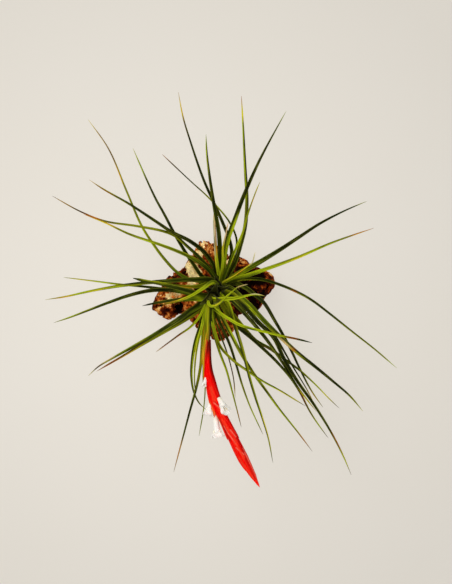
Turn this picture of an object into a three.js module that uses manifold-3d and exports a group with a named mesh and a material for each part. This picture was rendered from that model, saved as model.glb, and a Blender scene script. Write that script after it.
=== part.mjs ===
// Air plant, Tillandsia caulescens, grown on one chunk of cork bark.
// Millimetres, +Z up, +X right and +Y away, origin on the cork's flat underside below the plant's heart.
// Every plan point in the tables is given as it looks from straight above, from EYE_HEIGHT over the ground.
import * as THREE from 'three';
import { mergeVertices } from 'three/addons/utils/BufferGeometryUtils.js';
import Module from 'manifold-3d';

const wasm = await Module();
wasm.setup();

// Driving dimensions
const EYE_HEIGHT = 700;
const GAP = 0.3;
const STEM_FOOT = new THREE.Vector3(-1.5, 5, 18);
const STEM_MIDDLE = new THREE.Vector3(-4, 2.5, 48);
const STEM_TOP = new THREE.Vector3(-10, -5.5, 76);
const STEM_RADIUS = 3.4;
const STEM_TAPER = 0.45;
const STEM_SIDES = 8;
const LEAF_STEP = 11;
const LEAF_FEWEST_STEPS = 6;
const LEAF_THICKNESS = 1.2;
const LEAF_TIP_THICKNESS = 0.7;
const LEAF_TIP_WIDTH = 0.8;
const LEAF_CHANNEL = 0.3;
const LEAF_BASE_FLARE = 0.7;
const SHEATH_COUNT = 14;
const SHEATH_LENGTH = 15;
const SHEATH_WIDTH = 6.5;
const SHEATH_THICKNESS = 1.8;
const SHEATH_TIP_THICKNESS = 0.9;
const SHEATH_CHANNEL = 0.55;
const SHEATH_ROOT = 2.2;
const SHEATH_REACH = 5.5;
const SHEATH_STATIONS = [0.22, 0.92];
const SCAPE_RADIUS = 1.9;
const SCAPE_PEG_RADIUS = 0.9;
const SCAPE_PEG_STATION = 0.06;
const SCAPE_RISE = 3.5;
const SPIKE_BASE_HEIGHT = 84;
const SPIKE_TIP_HEIGHT = 98;
const BRACT_FLATNESS = 0.62;
const BRACT_TOOTH = 0.14;
const RACHIS_RADIUS = 1.3;
const PETAL_THICKNESS = 0.9;
const CORK_EDGE_HEIGHT = 17;
const CORK_CROWN = 3.5;
const CORK_ROUGHNESS = 0.8;
const CORK_SIDE_ROUGHNESS = 0.8;
const GOLDEN_ANGLE = THREE.MathUtils.degToRad(137.5);
const UP = new THREE.Vector3(0, 0, 1);

// Leaves, oldest and lowest first. Each row holds the station of the root on the stem (0 foot, 1 top), the
// blade's width, the heights that its arch pulls to and that its tip reaches, and its plan from root to tip.
const LEAVES = [
  // Back left
  { root: 0.24, width: 2.3, arch: 70, tip: 40,
    plan: [[-24.5, 8.6], [-31.8, 12.8], [-40.2, 21.6], [-47.6, 31.5], [-54.5, 42.3], [-65, 66.5],
      [-76, 92.5], [-89.5, 112]] },
  { root: 0.3, width: 2.5, arch: 76, tip: 55,
    plan: [[-15.1, 9.9], [-21, 17.8], [-27.6, 27.8], [-33.9, 38.6], [-40.2, 50.7], [-45.4, 60], [-52, 74],
      [-60.5, 93.5]] },
  { root: 0.36, width: 3.1, arch: 96, tip: 60,
    plan: [[-6.4, 12.8], [-8.5, 17.8], [-13.9, 25.7], [-23.5, 33.2], [-35.2, 39.1], [-46.4, 46.5],
      [-62.5, 57], [-80, 67], [-89, 73]] },
  { root: 0.4, width: 2.2, arch: 92, tip: 50,
    plan: [[-9.3, 13.2], [-16.8, 22], [-25.5, 29.9], [-32.6, 36.1], [-40.2, 39.3], [-59, 43], [-78.5, 46],
      [-95, 52.5], [-113, 62.5]] },
  { root: 0.42, width: 2.6, arch: 86, tip: 42,
    plan: [[-8.5, 11], [-12.7, 15.7], [-20.2, 21.1], [-29.7, 25.7], [-43, 30.8], [-62.5, 37.5], [-78.5, 45],
      [-92.5, 50.5]] },
  // Back
  { root: 0.34, width: 2.4, arch: 92, tip: 70,
    plan: [[1.8, 17], [3.8, 26], [2, 34.9], [-0.6, 41.5], [-5.6, 53.2], [-14.5, 73], [-23.5, 99], [-28, 114],
      [-31, 130]] },
  { root: 0.42, width: 3.2, arch: 106, tip: 86,
    plan: [[-4, 11], [-4, 27.5], [-5, 40.5], [-7.5, 54.5], [-10.5, 74], [-12.5, 91], [-13, 102.5]] },
  { root: 0.2, width: 1.5, arch: 68, tip: 74,
    plan: [[0.5, 14.5], [5, 24], [7, 33], [2.5, 45], [-10.5, 60.5], [-23.5, 72.5], [-41.5, 89.5]] },
  { root: 0.38, width: 1.6, arch: 84, tip: 78,
    plan: [[-4.5, 10.5], [-6, 22], [-6.5, 36.5], [-7.5, 51], [-8, 58]] },
  { root: 0.3, width: 3, arch: 82, tip: 74,
    plan: [[2.5, 12.5], [5.8, 19.5], [9.8, 32], [12.5, 43.5], [13.5, 60], [12.5, 79.5], [11, 110.5],
      [10, 127.5]] },
  { root: 0.44, width: 3, arch: 100, tip: 86,
    plan: [[-2.5, 10.5], [-1.2, 24], [1, 34], [5.5, 46.5], [11.5, 62.5], [22, 86], [39, 117.5]] },
  { root: 0.4, width: 2.4, arch: 98, tip: 104,
    plan: [[0, 13], [3.5, 21], [7, 29.5], [11, 39], [14.5, 51.5], [19.5, 65.5], [22, 71.5]] },
  { root: 0.48, width: 1.8, arch: 84, tip: 92,
    plan: [[-3.5, 9], [-2.1, 19.5], [-2, 28.5], [0, 38.5], [1.5, 45.5]] },
  // Right
  { root: 0.32, width: 3.2, arch: 88, tip: 62,
    plan: [[0.5, 7], [11, 13.5], [21, 19], [35, 27.5], [48, 36], [61, 44.5], [77.5, 53], [91.5, 59]] },
  { root: 0.36, width: 3.6, arch: 84, tip: 46,
    plan: [[2.5, 7], [13, 10.5], [22, 13.5], [35, 18], [48, 23], [67.5, 31.5], [84, 37.5], [96, 41.5]] },
  { root: 0.22, width: 2.3, arch: 84, tip: 34,
    plan: [[4, 7], [12.5, 8.6], [23.5, 8.2], [35, 4.8], [48, -0.8], [56.3, -5.6], [67, -13.7], [80.5, -24.5],
      [97, -37.5], [111, -49.5]] },
  { root: 0.44, width: 1.8, arch: 74, tip: 84,
    plan: [[-1.5, 6], [6, 10.5], [13.5, 16], [17, 19], [18, 22], [19, 26]] },
  // Left
  { root: 0.56, width: 2.4, arch: 70, tip: 40,
    plan: [[-13.5, -2.5], [-26.5, 0.5], [-39.5, 2], [-52.5, 3.5], [-69, 5], [-85, 7], [-105.5, 9.5]] },
  { root: 0.44, width: 3, arch: 88, tip: 38,
    plan: [[-8.5, 7.5], [-23.5, 8], [-39.5, 7], [-56, 5.5], [-72, 3.5], [-88.5, 0.5], [-104.5, -3],
      [-117.5, -5]] },
  { root: 0.74, width: 3, arch: 92, tip: 76, bluntness: 0.5,
    plan: [[-13, -2.5], [-23.5, 0.5], [-33, 3], [-43, 5.5], [-51.5, 7], [-60.5, 9]] },
  { root: 0.66, width: 3.2, arch: 84, tip: 35,
    plan: [[-13, -3.5], [-24.5, -0.5], [-36.5, 1.5], [-49.5, 1], [-62.5, -2], [-75.5, -6.5], [-88.5, -11.5],
      [-101.5, -16.5], [-112, -20]] },
  { root: 0.76, width: 3.3, arch: 80, tip: 62,
    plan: [[-12.5, -4], [-23.5, -4.5], [-35, -5.5], [-45, -7], [-54.5, -9]] },
  { root: 0.5, width: 2.8, arch: 108, tip: 80,
    plan: [[-8, 6.5], [-15, 3], [-23.5, -2], [-32, -5.5], [-42.5, -8]] },
  { root: 0.38, width: 3, arch: 62, tip: 58,
    plan: [[-9, 6], [-17, 4], [-24.5, 3.5], [-33, 4.5], [-43, 7]] },
  // Front left
  { root: 0.72, width: 4, arch: 90, tip: 30,
    plan: [[-15, -7], [-23.5, -12.5], [-33, -19], [-46, -27], [-59, -34], [-72, -41.5], [-83, -48.5],
      [-89.5, -54.5]] },
  { root: 0.66, width: 3.4, arch: 80, tip: 26,
    plan: [[-13.5, -8], [-19.5, -14], [-28.5, -20], [-41, -27], [-54, -34.5], [-67, -42], [-75.5, -46.5],
      [-84, -51.5]] },
  { root: 0.84, width: 1.9, arch: 90, tip: 50,
    plan: [[-13, -8.5], [-17.5, -16.5], [-23.5, -23], [-30, -27.5], [-37.5, -33], [-45.5, -39]] },
  // Crown
  { root: 0.97, width: 2.2, arch: 108, tip: 88, step: 3,
    plan: [[-11.5, -7], [-10, -9], [-7, -9], [-4.5, -7.5], [-1.5, -4.5], [2.5, -1], [6.5, 2.5], [10, 4],
      [14, 5]] },
  { root: 0.92, width: 2.4, arch: 92, tip: 84,
    plan: [[-7.5, -5], [-0.5, -4.5], [6, -4], [12.5, -2.5], [19, -1.5], [25, -2.5]] },
  { root: 0.9, width: 2.3, arch: 108, tip: 86,
    plan: [[-8.5, -9.5], [-3.5, -14], [2, -17.5], [8, -21], [15.5, -23.5], [25.5, -26], [36, -28.5],
      [46, -30.5], [56, -33]] },
  // Front right
  { root: 0.34, width: 2.5, arch: 82, tip: 50,
    plan: [[4, 6], [12.5, 3], [19.2, -2.1], [24.6, -6.8], [31.7, -18.5], [37, -27.7], [42.9, -38.1],
      [48.4, -49.3], [55.8, -64], [63, -75]] },
  { root: 0.6, width: 1.6, arch: 72, tip: 60,
    plan: [[2, -11.5], [10.9, -19.8], [16.3, -25.6], [20.5, -30.8], [28.3, -36.6], [39.3, -44.5],
      [48.1, -51], [58.5, -60.5], [66.3, -68.6], [73.5, -75.5]] },
  { root: 0.52, width: 3.3, arch: 98, tip: 54,
    plan: [[2, 2.5], [10, -4], [17, -10], [25.5, -19], [34.5, -28.3], [46, -39.1], [57.9, -48.5],
      [69.5, -58], [80.5, -67.5], [89, -77.5]] },
  { root: 0.6, width: 3, arch: 98, tip: 42,
    plan: [[4, -1.5], [9.8, -4.6], [15.6, -9.8], [23.7, -19.2], [30.6, -29.3], [37.7, -43.2], [46.8, -58.5],
      [55.9, -71.2], [66.5, -88], [75, -104], [81.5, -119]] },
  { root: 0.64, width: 3, arch: 88, tip: 52,
    plan: [[2.5, -4], [6.5, -6.2], [13.8, -14.4], [22.1, -23.4], [28, -32.5], [37.1, -46.5], [47.5, -63.1],
      [58.8, -77.7]] },
  { root: 0.7, width: 2.7, arch: 80, tip: 44,
    plan: [[0, -13], [5.5, -20.5], [18.3, -31.8], [31.9, -45.2], [41.3, -55.9], [47.6, -64.7], [54, -76.7],
      [58.5, -83.9], [66.5, -95]] },
  { root: 0.5, width: 1.7, arch: 84, tip: 68,
    plan: [[8, -3.5], [16, -10], [23.4, -16.6], [33.2, -30.6], [42.9, -47.5], [52, -62.4], [56.9, -71.5]] },
  // Front
  { root: 0.78, width: 2.5, arch: 96, tip: 42,
    plan: [[-4, -9], [2.5, -18], [7, -28.5], [11, -40.5], [17, -51], [26, -64], [35, -76.5], [45.5, -89.5],
      [56, -103.5]] },
  { root: 0.84, width: 2, arch: 92, tip: 60,
    plan: [[-10, -11.5], [-8, -23.5], [-4, -35], [3.5, -43.5], [13.5, -51], [24, -58], [35, -64],
      [51.5, -74]] },
  { root: 0.8, width: 2.5, arch: 102, tip: 50,
    plan: [[-5, -9], [-1.2, -20.5], [3.6, -30.6], [10, -41.7], [14.6, -55.1], [19.2, -67.5], [23.5, -81.5],
      [27.5, -95], [30.5, -111]] },
  { root: 0.76, width: 2.1, arch: 82, tip: 44,
    plan: [[-7, -11], [-3.3, -21.5], [2, -33], [6.6, -47], [10.4, -60], [15.5, -74], [24, -92.5]] },
  { root: 0.8, width: 2.1, arch: 86, tip: 50,
    plan: [[-9, -11], [-7, -24.5], [-3.5, -39], [0.5, -51.5], [4, -64.5], [7, -76], [10, -88]] },
  { root: 0.72, width: 1.4, arch: 76, tip: 56,
    plan: [[-8.5, -12.5], [-4.5, -25.5], [0, -37.5], [3, -47.5], [5, -57], [6, -68.5]] },
  { root: 0.7, width: 2.4, arch: 84, tip: 44,
    plan: [[-13, -10.5], [-14.5, -21.5], [-15.5, -35], [-16.5, -48], [-19, -61], [-23.5, -77.5],
      [-28, -94.5], [-34, -117]] },
  { root: 0.76, width: 2.4, arch: 90, tip: 50,
    plan: [[-13.5, -10], [-16.5, -21.5], [-20, -32.5], [-22, -44], [-22.5, -54.5], [-21, -64.5],
      [-17.5, -72], [-13, -76.5]] },
  { root: 0.82, width: 1.8, arch: 86, tip: 66,
    plan: [[-13, -11], [-15.5, -22], [-18.5, -34], [-20, -45], [-20.5, -56], [-20, -65.5]] },
  { root: 0.6, width: 1.5, arch: 64, tip: 36,
    plan: [[-11.5, -11], [-12.5, -28], [-13.5, -45.5], [-13.5, -62.5], [-14.5, -75.5], [-17.5, -93.5]] },
  { root: 0.92, width: 2.2, arch: 94, tip: 94,
    plan: [[-12.7, -13], [-13, -24.7], [-13.8, -34.5], [-14.2, -44.2], [-14.4, -52], [-15, -59.8]] },
  { root: 0.9, width: 2.4, arch: 74, tip: 76,
    plan: [[-11, -11], [-9, -21.5], [-8, -28.5], [-6.5, -33]] },
];

// Edge of the cork as seen from above, anticlockwise from its left end.
const CORK_EDGE = [
  [-47.8, -11], [-44.2, -13.3], [-40.3, -16.3], [-36.7, -17.2], [-34.6, -14.8], [-29.9, -14], [-25.4, -13.5],
  [-22.1, -18.5], [-17.5, -22.1], [-11.7, -27.3], [-4.6, -31.5], [-1.3, -31.2], [2.6, -27.3], [5.2, -19.5],
  [8.5, -14.6], [15.6, -12.4], [20.8, -11.4], [23.7, -7.8], [25.4, -2.6], [29.3, 0.3], [30.6, 5.9],
  [29.3, 10.1], [24.1, 13.3], [15.6, 18.2], [11.1, 21.5], [6.5, 23.1], [0, 23.7], [-4.6, 28.6], [-8.5, 31.5],
  [-13.7, 32.8], [-17.2, 32.2], [-18.9, 27.3], [-23.4, 20.8], [-27.3, 15], [-32.5, 11.7], [-37.1, 9.1],
  [-41.6, 3.3], [-44.5, -1.3], [-45.9, -5.9],
];
const CORK_CENTRE = [-8, 1];

// Lumps and hollows of the cork's top: plan place, radius and height.
const CORK_LUMPS = [
  { at: [-3, 4], radius: 15, height: 6 },
  { at: [-33, 3], radius: 8, height: 4.5 },
  { at: [-38, -11], radius: 5, height: 3 },
  { at: [-13, 24], radius: 7, height: 4 },
  { at: [-24, 8], radius: 6, height: 4 },
  { at: [9, 16], radius: 6, height: 3.5 },
  { at: [25, 6], radius: 6, height: 4 },
  { at: [-5, -22], radius: 7, height: 3.5 },
  { at: [-27, -2], radius: 5, height: -4 },
  { at: [-17, 14], radius: 4, height: -3.5 },
  { at: [16, 2], radius: 6, height: -4 },
  { at: [4, -14], radius: 4, height: -3 },
];

// Pits broken into the cork: place, half sizes and turn.
const CORK_PITS = [
  { at: [-30.5, -9.5, 20], size: [3.6, 2.8, 7], turn: 0.4 },
  { at: [-27, 14, 15], size: [5, 2.6, 6], turn: -0.5 },
  { at: [20.5, -6, 19], size: [3.2, 4, 8], turn: 0.2 },
  { at: [-42, -9, 18], size: [5, 2, 5], turn: 0.5 },
  { at: [-9, 29, 19], size: [2, 4, 5], turn: 0.6 },
  { at: [26, 4, 21], size: [2.2, 3.4, 5], turn: -0.3 },
  { at: [1, -24, 16], size: [2.4, 4, 6], turn: -0.4 },
];

// Middle line of the red spike as seen from above, from the green scape to its point.
const SPIKE_PLAN = [
  [-11.5, -31], [-12, -41], [-11.5, -50.5], [-9.7, -60.5], [-6.8, -71.5], [-1.3, -83], [4.5, -95],
  [10.7, -107.5], [16.5, -117.5], [22, -127],
];

// Half width of the spike at stations along it (0 scape, 1 point).
const SPIKE_HALF_WIDTHS = [
  [0, 1.5], [0.1, 1.9], [0.19, 2.4], [0.26, 3], [0.36, 3.2], [0.46, 3.1], [0.53, 2.9], [0.64, 3.1],
  [0.72, 3.2], [0.8, 3.1], [0.86, 2.5], [0.91, 1.6], [0.96, 0.8], [1, 0.35],
];

// Bracts of the spike, in two ranks: stations of the base and of the point, and the side (-1 left, 1 right).
const BRACTS = [
  { base: 0, point: 0.27, side: -1 },
  { base: 0, point: 0.4, side: 1 },
  { base: 0.12, point: 0.42, side: -1 },
  { base: 0.22, point: 0.48, side: 1 },
  { base: 0.25, point: 0.5, side: -1 },
  { base: 0.36, point: 0.67, side: 1 },
  { base: 0.38, point: 0.65, side: -1 },
  { base: 0.5, point: 0.81, side: 1 },
  { base: 0.53, point: 0.87, side: -1 },
  { base: 0.66, point: 0.94, side: 1 },
  { base: 0.7, point: 1, side: -1 },
];

// White flowers: plan places of the root and of the mouth and their heights, the tube's radius at the mouth,
// the petals' length, width and how far they open, and the turn of the first petal in degrees.
const FLOWERS = [
  { root: [-12.9, -54.4], mouth: [-14, -59.6], rootHeight: 87.5, mouthHeight: 90.5, tube: 1.1, petal: 2.4,
    width: 1.7, open: 0.3, turn: 30 },
  { root: [-5, -68], mouth: [-2.4, -74], rootHeight: 91.5, mouthHeight: 95, tube: 1.6, petal: 4.8,
    width: 3.8, open: 0.6, turn: 85 },
  { root: [-10, -68.5], mouth: [-12, -75], rootHeight: 89, mouthHeight: 90, tube: 1.5, petal: 4,
    width: 3.4, open: 0.6, turn: 20 },
  { root: [-7.2, -77], mouth: [-6, -91], rootHeight: 89, mouthHeight: 90, tube: 1.7, petal: 4,
    width: 3.8, open: 0.62, turn: 70 },
];

// Geometry helpers

function inPlace(seen, height) {
  const shrink = (EYE_HEIGHT - height) / EYE_HEIGHT;
  return new THREE.Vector3(seen.x * shrink, seen.y * shrink, height);
}

function asSeen(point) {
  const grow = EYE_HEIGHT / (EYE_HEIGHT - point.z);
  return new THREE.Vector3(point.x * grow, point.y * grow, 0);
}

function smoothCurve(points) {
  return new THREE.CatmullRomCurve3(points, false, 'centripetal');
}

// A closed skin over rings of equally many points; each end is closed by a fan on the ring's middle.
function loft(rings) {
  const sides = rings[0].length;
  const points = rings.flat();
  const faces = [];
  for (let ring = 0; ring < rings.length - 1; ring += 1) {
    for (let side = 0; side < sides; side += 1) {
      const a = ring * sides + side;
      const b = ring * sides + (side + 1) % sides;
      faces.push(a, b, b + sides, a, b + sides, a + sides);
    }
  }
  const last = (rings.length - 1) * sides;
  for (let side = 1; side < sides - 1; side += 1) {
    faces.push(0, side + 1, side);
    faces.push(last, last + side, last + side + 1);
  }
  return solid(points, faces);
}

function solid(points, faces) {
  const geometry = new THREE.BufferGeometry();
  const places = points.flatMap(({ x, y, z }) => [x, y, z]);
  geometry.setAttribute('position', new THREE.Float32BufferAttribute(places, 3));
  geometry.setIndex(faces);
  return asManifold(geometry);
}

function asManifold(geometry) {
  geometry.deleteAttribute('normal');
  geometry.deleteAttribute('uv');
  const merged = mergeVertices(geometry, 1e-4);
  return new wasm.Manifold(new wasm.Mesh({
    numProp: 3,
    vertProperties: new Float32Array(merged.attributes.position.array),
    triVerts: new Uint32Array(merged.index.array),
  }));
}

function join(parts) {
  return parts.reduce((whole, part) => whole.add(part));
}

// The largest body of a joined solid, without loose scraps.
function mainBody(whole) {
  const bodies = whole.decompose();
  return bodies.reduce((best, body) => (body.volume() > best.volume() ? body : best));
}

function asGeometry(body) {
  const mesh = body.getMesh();
  const geometry = new THREE.BufferGeometry();
  geometry.setAttribute('position', new THREE.BufferAttribute(new Float32Array(mesh.vertProperties), 3));
  geometry.setIndex(new THREE.BufferAttribute(new Uint32Array(mesh.triVerts), 1));
  geometry.computeVertexNormals();
  return geometry;
}

// Side and face directions at each point of a path. The side is level, unless one is given, and the face
// looks up.
function pathFrames(path, fixedSide) {
  return path.map((point, index) => {
    const before = path[Math.max(index - 1, 0)];
    const after = path[Math.min(index + 1, path.length - 1)];
    const forward = after.clone().sub(before).normalize();
    const side = fixedSide ?? UP.clone().cross(forward).normalize();
    const face = forward.clone().cross(side).normalize();
    return { point, side, face };
  });
}

function ringPoint(frame, across, over) {
  return frame.point.clone().addScaledVector(frame.side, across).addScaledVector(frame.face, over);
}

// A channelled blade along a path: four corners a ring, keel below, groove above.
function blade(path, width, thickness, channel) {
  const rings = pathFrames(path).map((frame, index) => {
    const along = index / (path.length - 1);
    const half = width(along) / 2;
    const deep = thickness(along) / 2;
    const wing = half * channel;
    return [
      ringPoint(frame, 0, -deep),
      ringPoint(frame, half, wing),
      ringPoint(frame, 0, deep),
      ringPoint(frame, -half, wing),
    ];
  });
  return loft(rings);
}

function ellipseRing(frame, across, halfWidth, halfThickness, sides) {
  return Array.from({ length: sides }, (_, side) => {
    const angle = (side / sides) * 2 * Math.PI;
    return ringPoint(frame, across + halfWidth * Math.cos(angle), halfThickness * Math.sin(angle));
  });
}

// Leafy stem

const stemLine = smoothCurve([STEM_FOOT, STEM_MIDDLE, STEM_TOP]);

function levelRing(centre, radius) {
  return Array.from({ length: STEM_SIDES }, (_, side) => {
    const angle = (side / STEM_SIDES) * 2 * Math.PI;
    return new THREE.Vector3(Math.cos(angle), Math.sin(angle), 0).multiplyScalar(radius).add(centre);
  });
}

function stem() {
  const path = stemLine.getSpacedPoints(8);
  return loft(path.map((point, index) => {
    const along = index / (path.length - 1);
    return levelRing(point, STEM_RADIUS * (1 - STEM_TAPER * along ** 3));
  }));
}

function leafPath(leaf) {
  const root = stemLine.getPointAt(leaf.root);
  const seen = [asSeen(root), ...leaf.plan.map(([x, y]) => new THREE.Vector3(x, y, 0))];
  const plan = smoothCurve(seen);
  const count = Math.max(LEAF_FEWEST_STEPS, Math.round(plan.getLength() / (leaf.step ?? LEAF_STEP)));
  return plan.getSpacedPoints(count).map((point, index) => {
    const along = index / count;
    const height = root.z * (1 - along) ** 2 + 2 * leaf.arch * along * (1 - along) + leaf.tip * along ** 2;
    return inPlace(point, height);
  });
}

function leafBlade(leaf) {
  const taper = 1 - (leaf.bluntness ?? 0.25);
  const width = (along) => {
    const flare = 1 + LEAF_BASE_FLARE * Math.exp(-along * 14);
    return Math.max(leaf.width * flare * (1 - taper * along ** 1.4), LEAF_TIP_WIDTH);
  };
  const thickness = (along) => THREE.MathUtils.lerp(LEAF_THICKNESS, LEAF_TIP_THICKNESS, along);
  return blade(leafPath(leaf), width, thickness, LEAF_CHANNEL);
}

// Short clasping leaf bases up the stem, turned by the golden angle.
function sheath(index) {
  const station = THREE.MathUtils.lerp(...SHEATH_STATIONS, index / (SHEATH_COUNT - 1));
  const root = stemLine.getPointAt(station);
  const turn = index * GOLDEN_ANGLE;
  const outward = new THREE.Vector3(Math.cos(turn), Math.sin(turn), 0);
  const path = [0, 0.5, 1].map((along) => {
    const reach = SHEATH_ROOT + SHEATH_REACH * along ** 1.6;
    return root.clone().addScaledVector(outward, reach).addScaledVector(UP, SHEATH_LENGTH * (along - 0.15));
  });
  const width = (along) => SHEATH_WIDTH * (1 - 0.8 * along ** 1.5);
  const thickness = (along) => THREE.MathUtils.lerp(SHEATH_THICKNESS, SHEATH_TIP_THICKNESS, along);
  return blade(path, width, thickness, SHEATH_CHANNEL);
}

const spikeLine = smoothCurve(SPIKE_PLAN.map(([x, y], index) => {
  const along = index / (SPIKE_PLAN.length - 1);
  const height = THREE.MathUtils.lerp(SPIKE_BASE_HEIGHT, SPIKE_TIP_HEIGHT, along);
  return inPlace(new THREE.Vector3(x, y, 0), height);
}));

// Green scape: it carries the red spike and ends in a peg inside it.
function scape(pegRadius) {
  const start = stemLine.getPointAt(0.96);
  const collar = spikeLine.getPointAt(0);
  const middle = start.clone().lerp(collar, 0.5).addScaledVector(UP, SCAPE_RISE);
  const path = smoothCurve([start, middle, collar, spikeLine.getPointAt(SCAPE_PEG_STATION)]);
  const frames = pathFrames(path.getPoints(9));
  return loft(frames.map((frame, index) => {
    const radius = THREE.MathUtils.lerp(SCAPE_RADIUS, pegRadius, index / (frames.length - 1));
    return ellipseRing(frame, 0, radius, radius, 6);
  }));
}

function leafyStem() {
  const sheaths = Array.from({ length: SHEATH_COUNT }, (_, index) => sheath(index));
  return join([stem(), scape(SCAPE_PEG_RADIUS), ...sheaths, ...LEAVES.map(leafBlade)]);
}

// Flower spike

function spikeFrame(station) {
  const point = spikeLine.getPointAt(station);
  const forward = spikeLine.getTangentAt(station);
  const side = UP.clone().cross(forward).normalize();
  const face = forward.clone().cross(side).normalize();
  return { point, side, face };
}

function spikeHalfWidth(station) {
  const next = SPIKE_HALF_WIDTHS.findIndex(([place]) => place >= station && place > 0);
  const [before, narrow] = SPIKE_HALF_WIDTHS[next - 1];
  const [after, wide] = SPIKE_HALF_WIDTHS[next];
  return THREE.MathUtils.lerp(narrow, wide, (station - before) / (after - before));
}

// One boat-shaped bract: its keel runs along the spike's edge to a standing point, its margin crosses the
// middle.
function bract({ base, point, side }) {
  const stations = [0, 0.15, 0.35, 0.55, 0.75, 0.9, 1];
  return loft(stations.map((along) => {
    const station = THREE.MathUtils.lerp(base, point, along);
    const edge = spikeHalfWidth(station);
    const keel = edge * (THREE.MathUtils.lerp(0.8, 1, Math.sqrt(along)) + BRACT_TOOTH * along ** 4);
    const margin = THREE.MathUtils.lerp(-0.6 * edge, keel - 0.7, along ** 2.5);
    const halfWidth = (keel - margin) / 2;
    const halfThickness = Math.max(BRACT_FLATNESS * edge * (1 - 0.7 * along ** 3), 0.35);
    return ellipseRing(spikeFrame(station), (side * (keel + margin)) / 2, halfWidth, halfThickness, 8);
  }));
}

function rachis() {
  const stations = [0.01, 0.2, 0.4, 0.6, 0.8, 0.92];
  return loft(stations.map((station) => {
    const radius = RACHIS_RADIUS * (1 - 0.6 * station);
    return ellipseRing(spikeFrame(station), 0, radius, radius, 6);
  }));
}

// White flower: a trumpet whose three petals open and turn back at its mouth. Grown, it is the room that it
// needs in the spike.
function flower(row, grow) {
  const root = inPlace(new THREE.Vector3(...row.root, 0), row.rootHeight);
  const mouth = inPlace(new THREE.Vector3(...row.mouth, 0), row.mouthHeight);
  const axis = mouth.clone().sub(root).normalize();
  root.addScaledVector(axis, -grow);
  const side = UP.clone().cross(axis).normalize();
  const face = axis.clone().cross(side).normalize();
  const tube = loft([0, 0.35, 0.7, 1].map((along) => {
    const radius = row.tube * (0.6 + 0.4 * along) + grow;
    return ellipseRing({ point: root.clone().lerp(mouth, along), side, face }, 0, radius, radius, 7);
  }));
  const petals = [0, 120, 240].map((angle) => {
    const turn = THREE.MathUtils.degToRad(row.turn + angle);
    const outward = side.clone().multiplyScalar(Math.cos(turn)).addScaledVector(face, Math.sin(turn));
    const across = axis.clone().cross(outward).normalize();
    const stations = [-0.4, 0, 0.35, 0.7, 1];
    const path = stations.map((along) => {
      const reach = Math.max(along, 0);
      const out = row.tube * 0.5 + row.petal * row.open * reach ** 1.4;
      const ahead = row.petal * (along - row.open * 0.6 * reach ** 2.2);
      return mouth.clone().addScaledVector(outward, out).addScaledVector(axis, ahead);
    });
    const halfWidths = [0.3, 0.36, 0.5, 0.42, 0.14];
    return loft(pathFrames(path, across).map((frame, index) => (
      ellipseRing(frame, 0, row.width * halfWidths[index] + grow, PETAL_THICKNESS / 2 + grow, 6)
    )));
  });
  return join([tube, ...petals]);
}

// Cork bark

// Slow waves that stand in for the crumbly surface.
function crumble(x, y, z) {
  return Math.sin(0.55 * x + 1.3) * Math.cos(0.47 * y - 0.4) + 0.7 * Math.sin(0.9 * y + 0.6 * z)
    + 0.5 * Math.cos(1.15 * x - 0.8 * z + 0.9);
}

function corkTop(x, y) {
  const lumps = CORK_LUMPS.reduce((sum, { at, radius, height }) => {
    const distance = Math.hypot(x - at[0], y - at[1]) / radius;
    return sum + height * Math.exp(-distance * distance);
  }, 0);
  return CORK_EDGE_HEIGHT + CORK_CROWN + lumps + CORK_ROUGHNESS * crumble(x, y, 0);
}

function corkPit({ at, size, turn }) {
  const geometry = new THREE.IcosahedronGeometry(1, 1);
  geometry.scale(...size);
  geometry.rotateZ(turn);
  geometry.translate(...at);
  return asManifold(geometry);
}

function corkBark() {
  const outline = smoothCurve(CORK_EDGE.map(([x, y]) => new THREE.Vector3(x, y, 0)));
  outline.closed = true;
  const edge = outline.getPoints(Math.round(CORK_EDGE.length * 1.6)).slice(0, -1);
  const centre = new THREE.Vector3(...CORK_CENTRE, 0);
  const levels = [
    { scale: 0.9, rise: 0 }, { scale: 0.97, rise: 0.14 }, { scale: 1, rise: 0.36 },
    { scale: 0.985, rise: 0.6 }, { scale: 0.95, rise: 0.82 }, { scale: 0.88, rise: 1 },
    { scale: 0.75, rise: 1 }, { scale: 0.61, rise: 1 }, { scale: 0.46, rise: 1 }, { scale: 0.3, rise: 1 },
    { scale: 0.15, rise: 1 },
  ];
  const rings = levels.map(({ scale, rise }) => edge.map((corner) => {
    const outer = corner.clone().sub(centre);
    const flat = outer.clone().multiplyScalar(scale).add(centre);
    const height = rise * corkTop(flat.x, flat.y);
    const isSide = rise > 0 && rise < 1;
    const wave = crumble(corner.x * 1.6, corner.y * 1.6, height * 1.5);
    const hollow = isSide ? CORK_SIDE_ROUGHNESS * Math.abs(wave) : 0;
    return flat.addScaledVector(outer.normalize(), -hollow).setZ(height);
  }));
  const sides = edge.length;
  const points = [centre.clone(), ...rings.flat(), centre.clone().setZ(corkTop(centre.x, centre.y))];
  const faces = [];
  for (let side = 0; side < sides; side += 1) {
    const next = (side + 1) % sides;
    faces.push(0, 1 + next, 1 + side);
    for (let ring = 0; ring < rings.length - 1; ring += 1) {
      const a = 1 + ring * sides + side;
      const b = 1 + ring * sides + next;
      faces.push(a, b, b + sides, a, b + sides, a + sides);
    }
    const top = 1 + (rings.length - 1) * sides;
    faces.push(top + side, top + next, points.length - 1);
  }
  return join([solid(points, faces)]).subtract(join(CORK_PITS.map(corkPit)));
}

// Assembly

function paint(color, roughness) {
  return new THREE.MeshStandardMaterial({ color, roughness, metalness: 0 });
}

const group = new THREE.Group();

function place(name, body, material) {
  const mesh = new THREE.Mesh(asGeometry(body), material);
  mesh.name = name;
  group.add(mesh);
}

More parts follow.
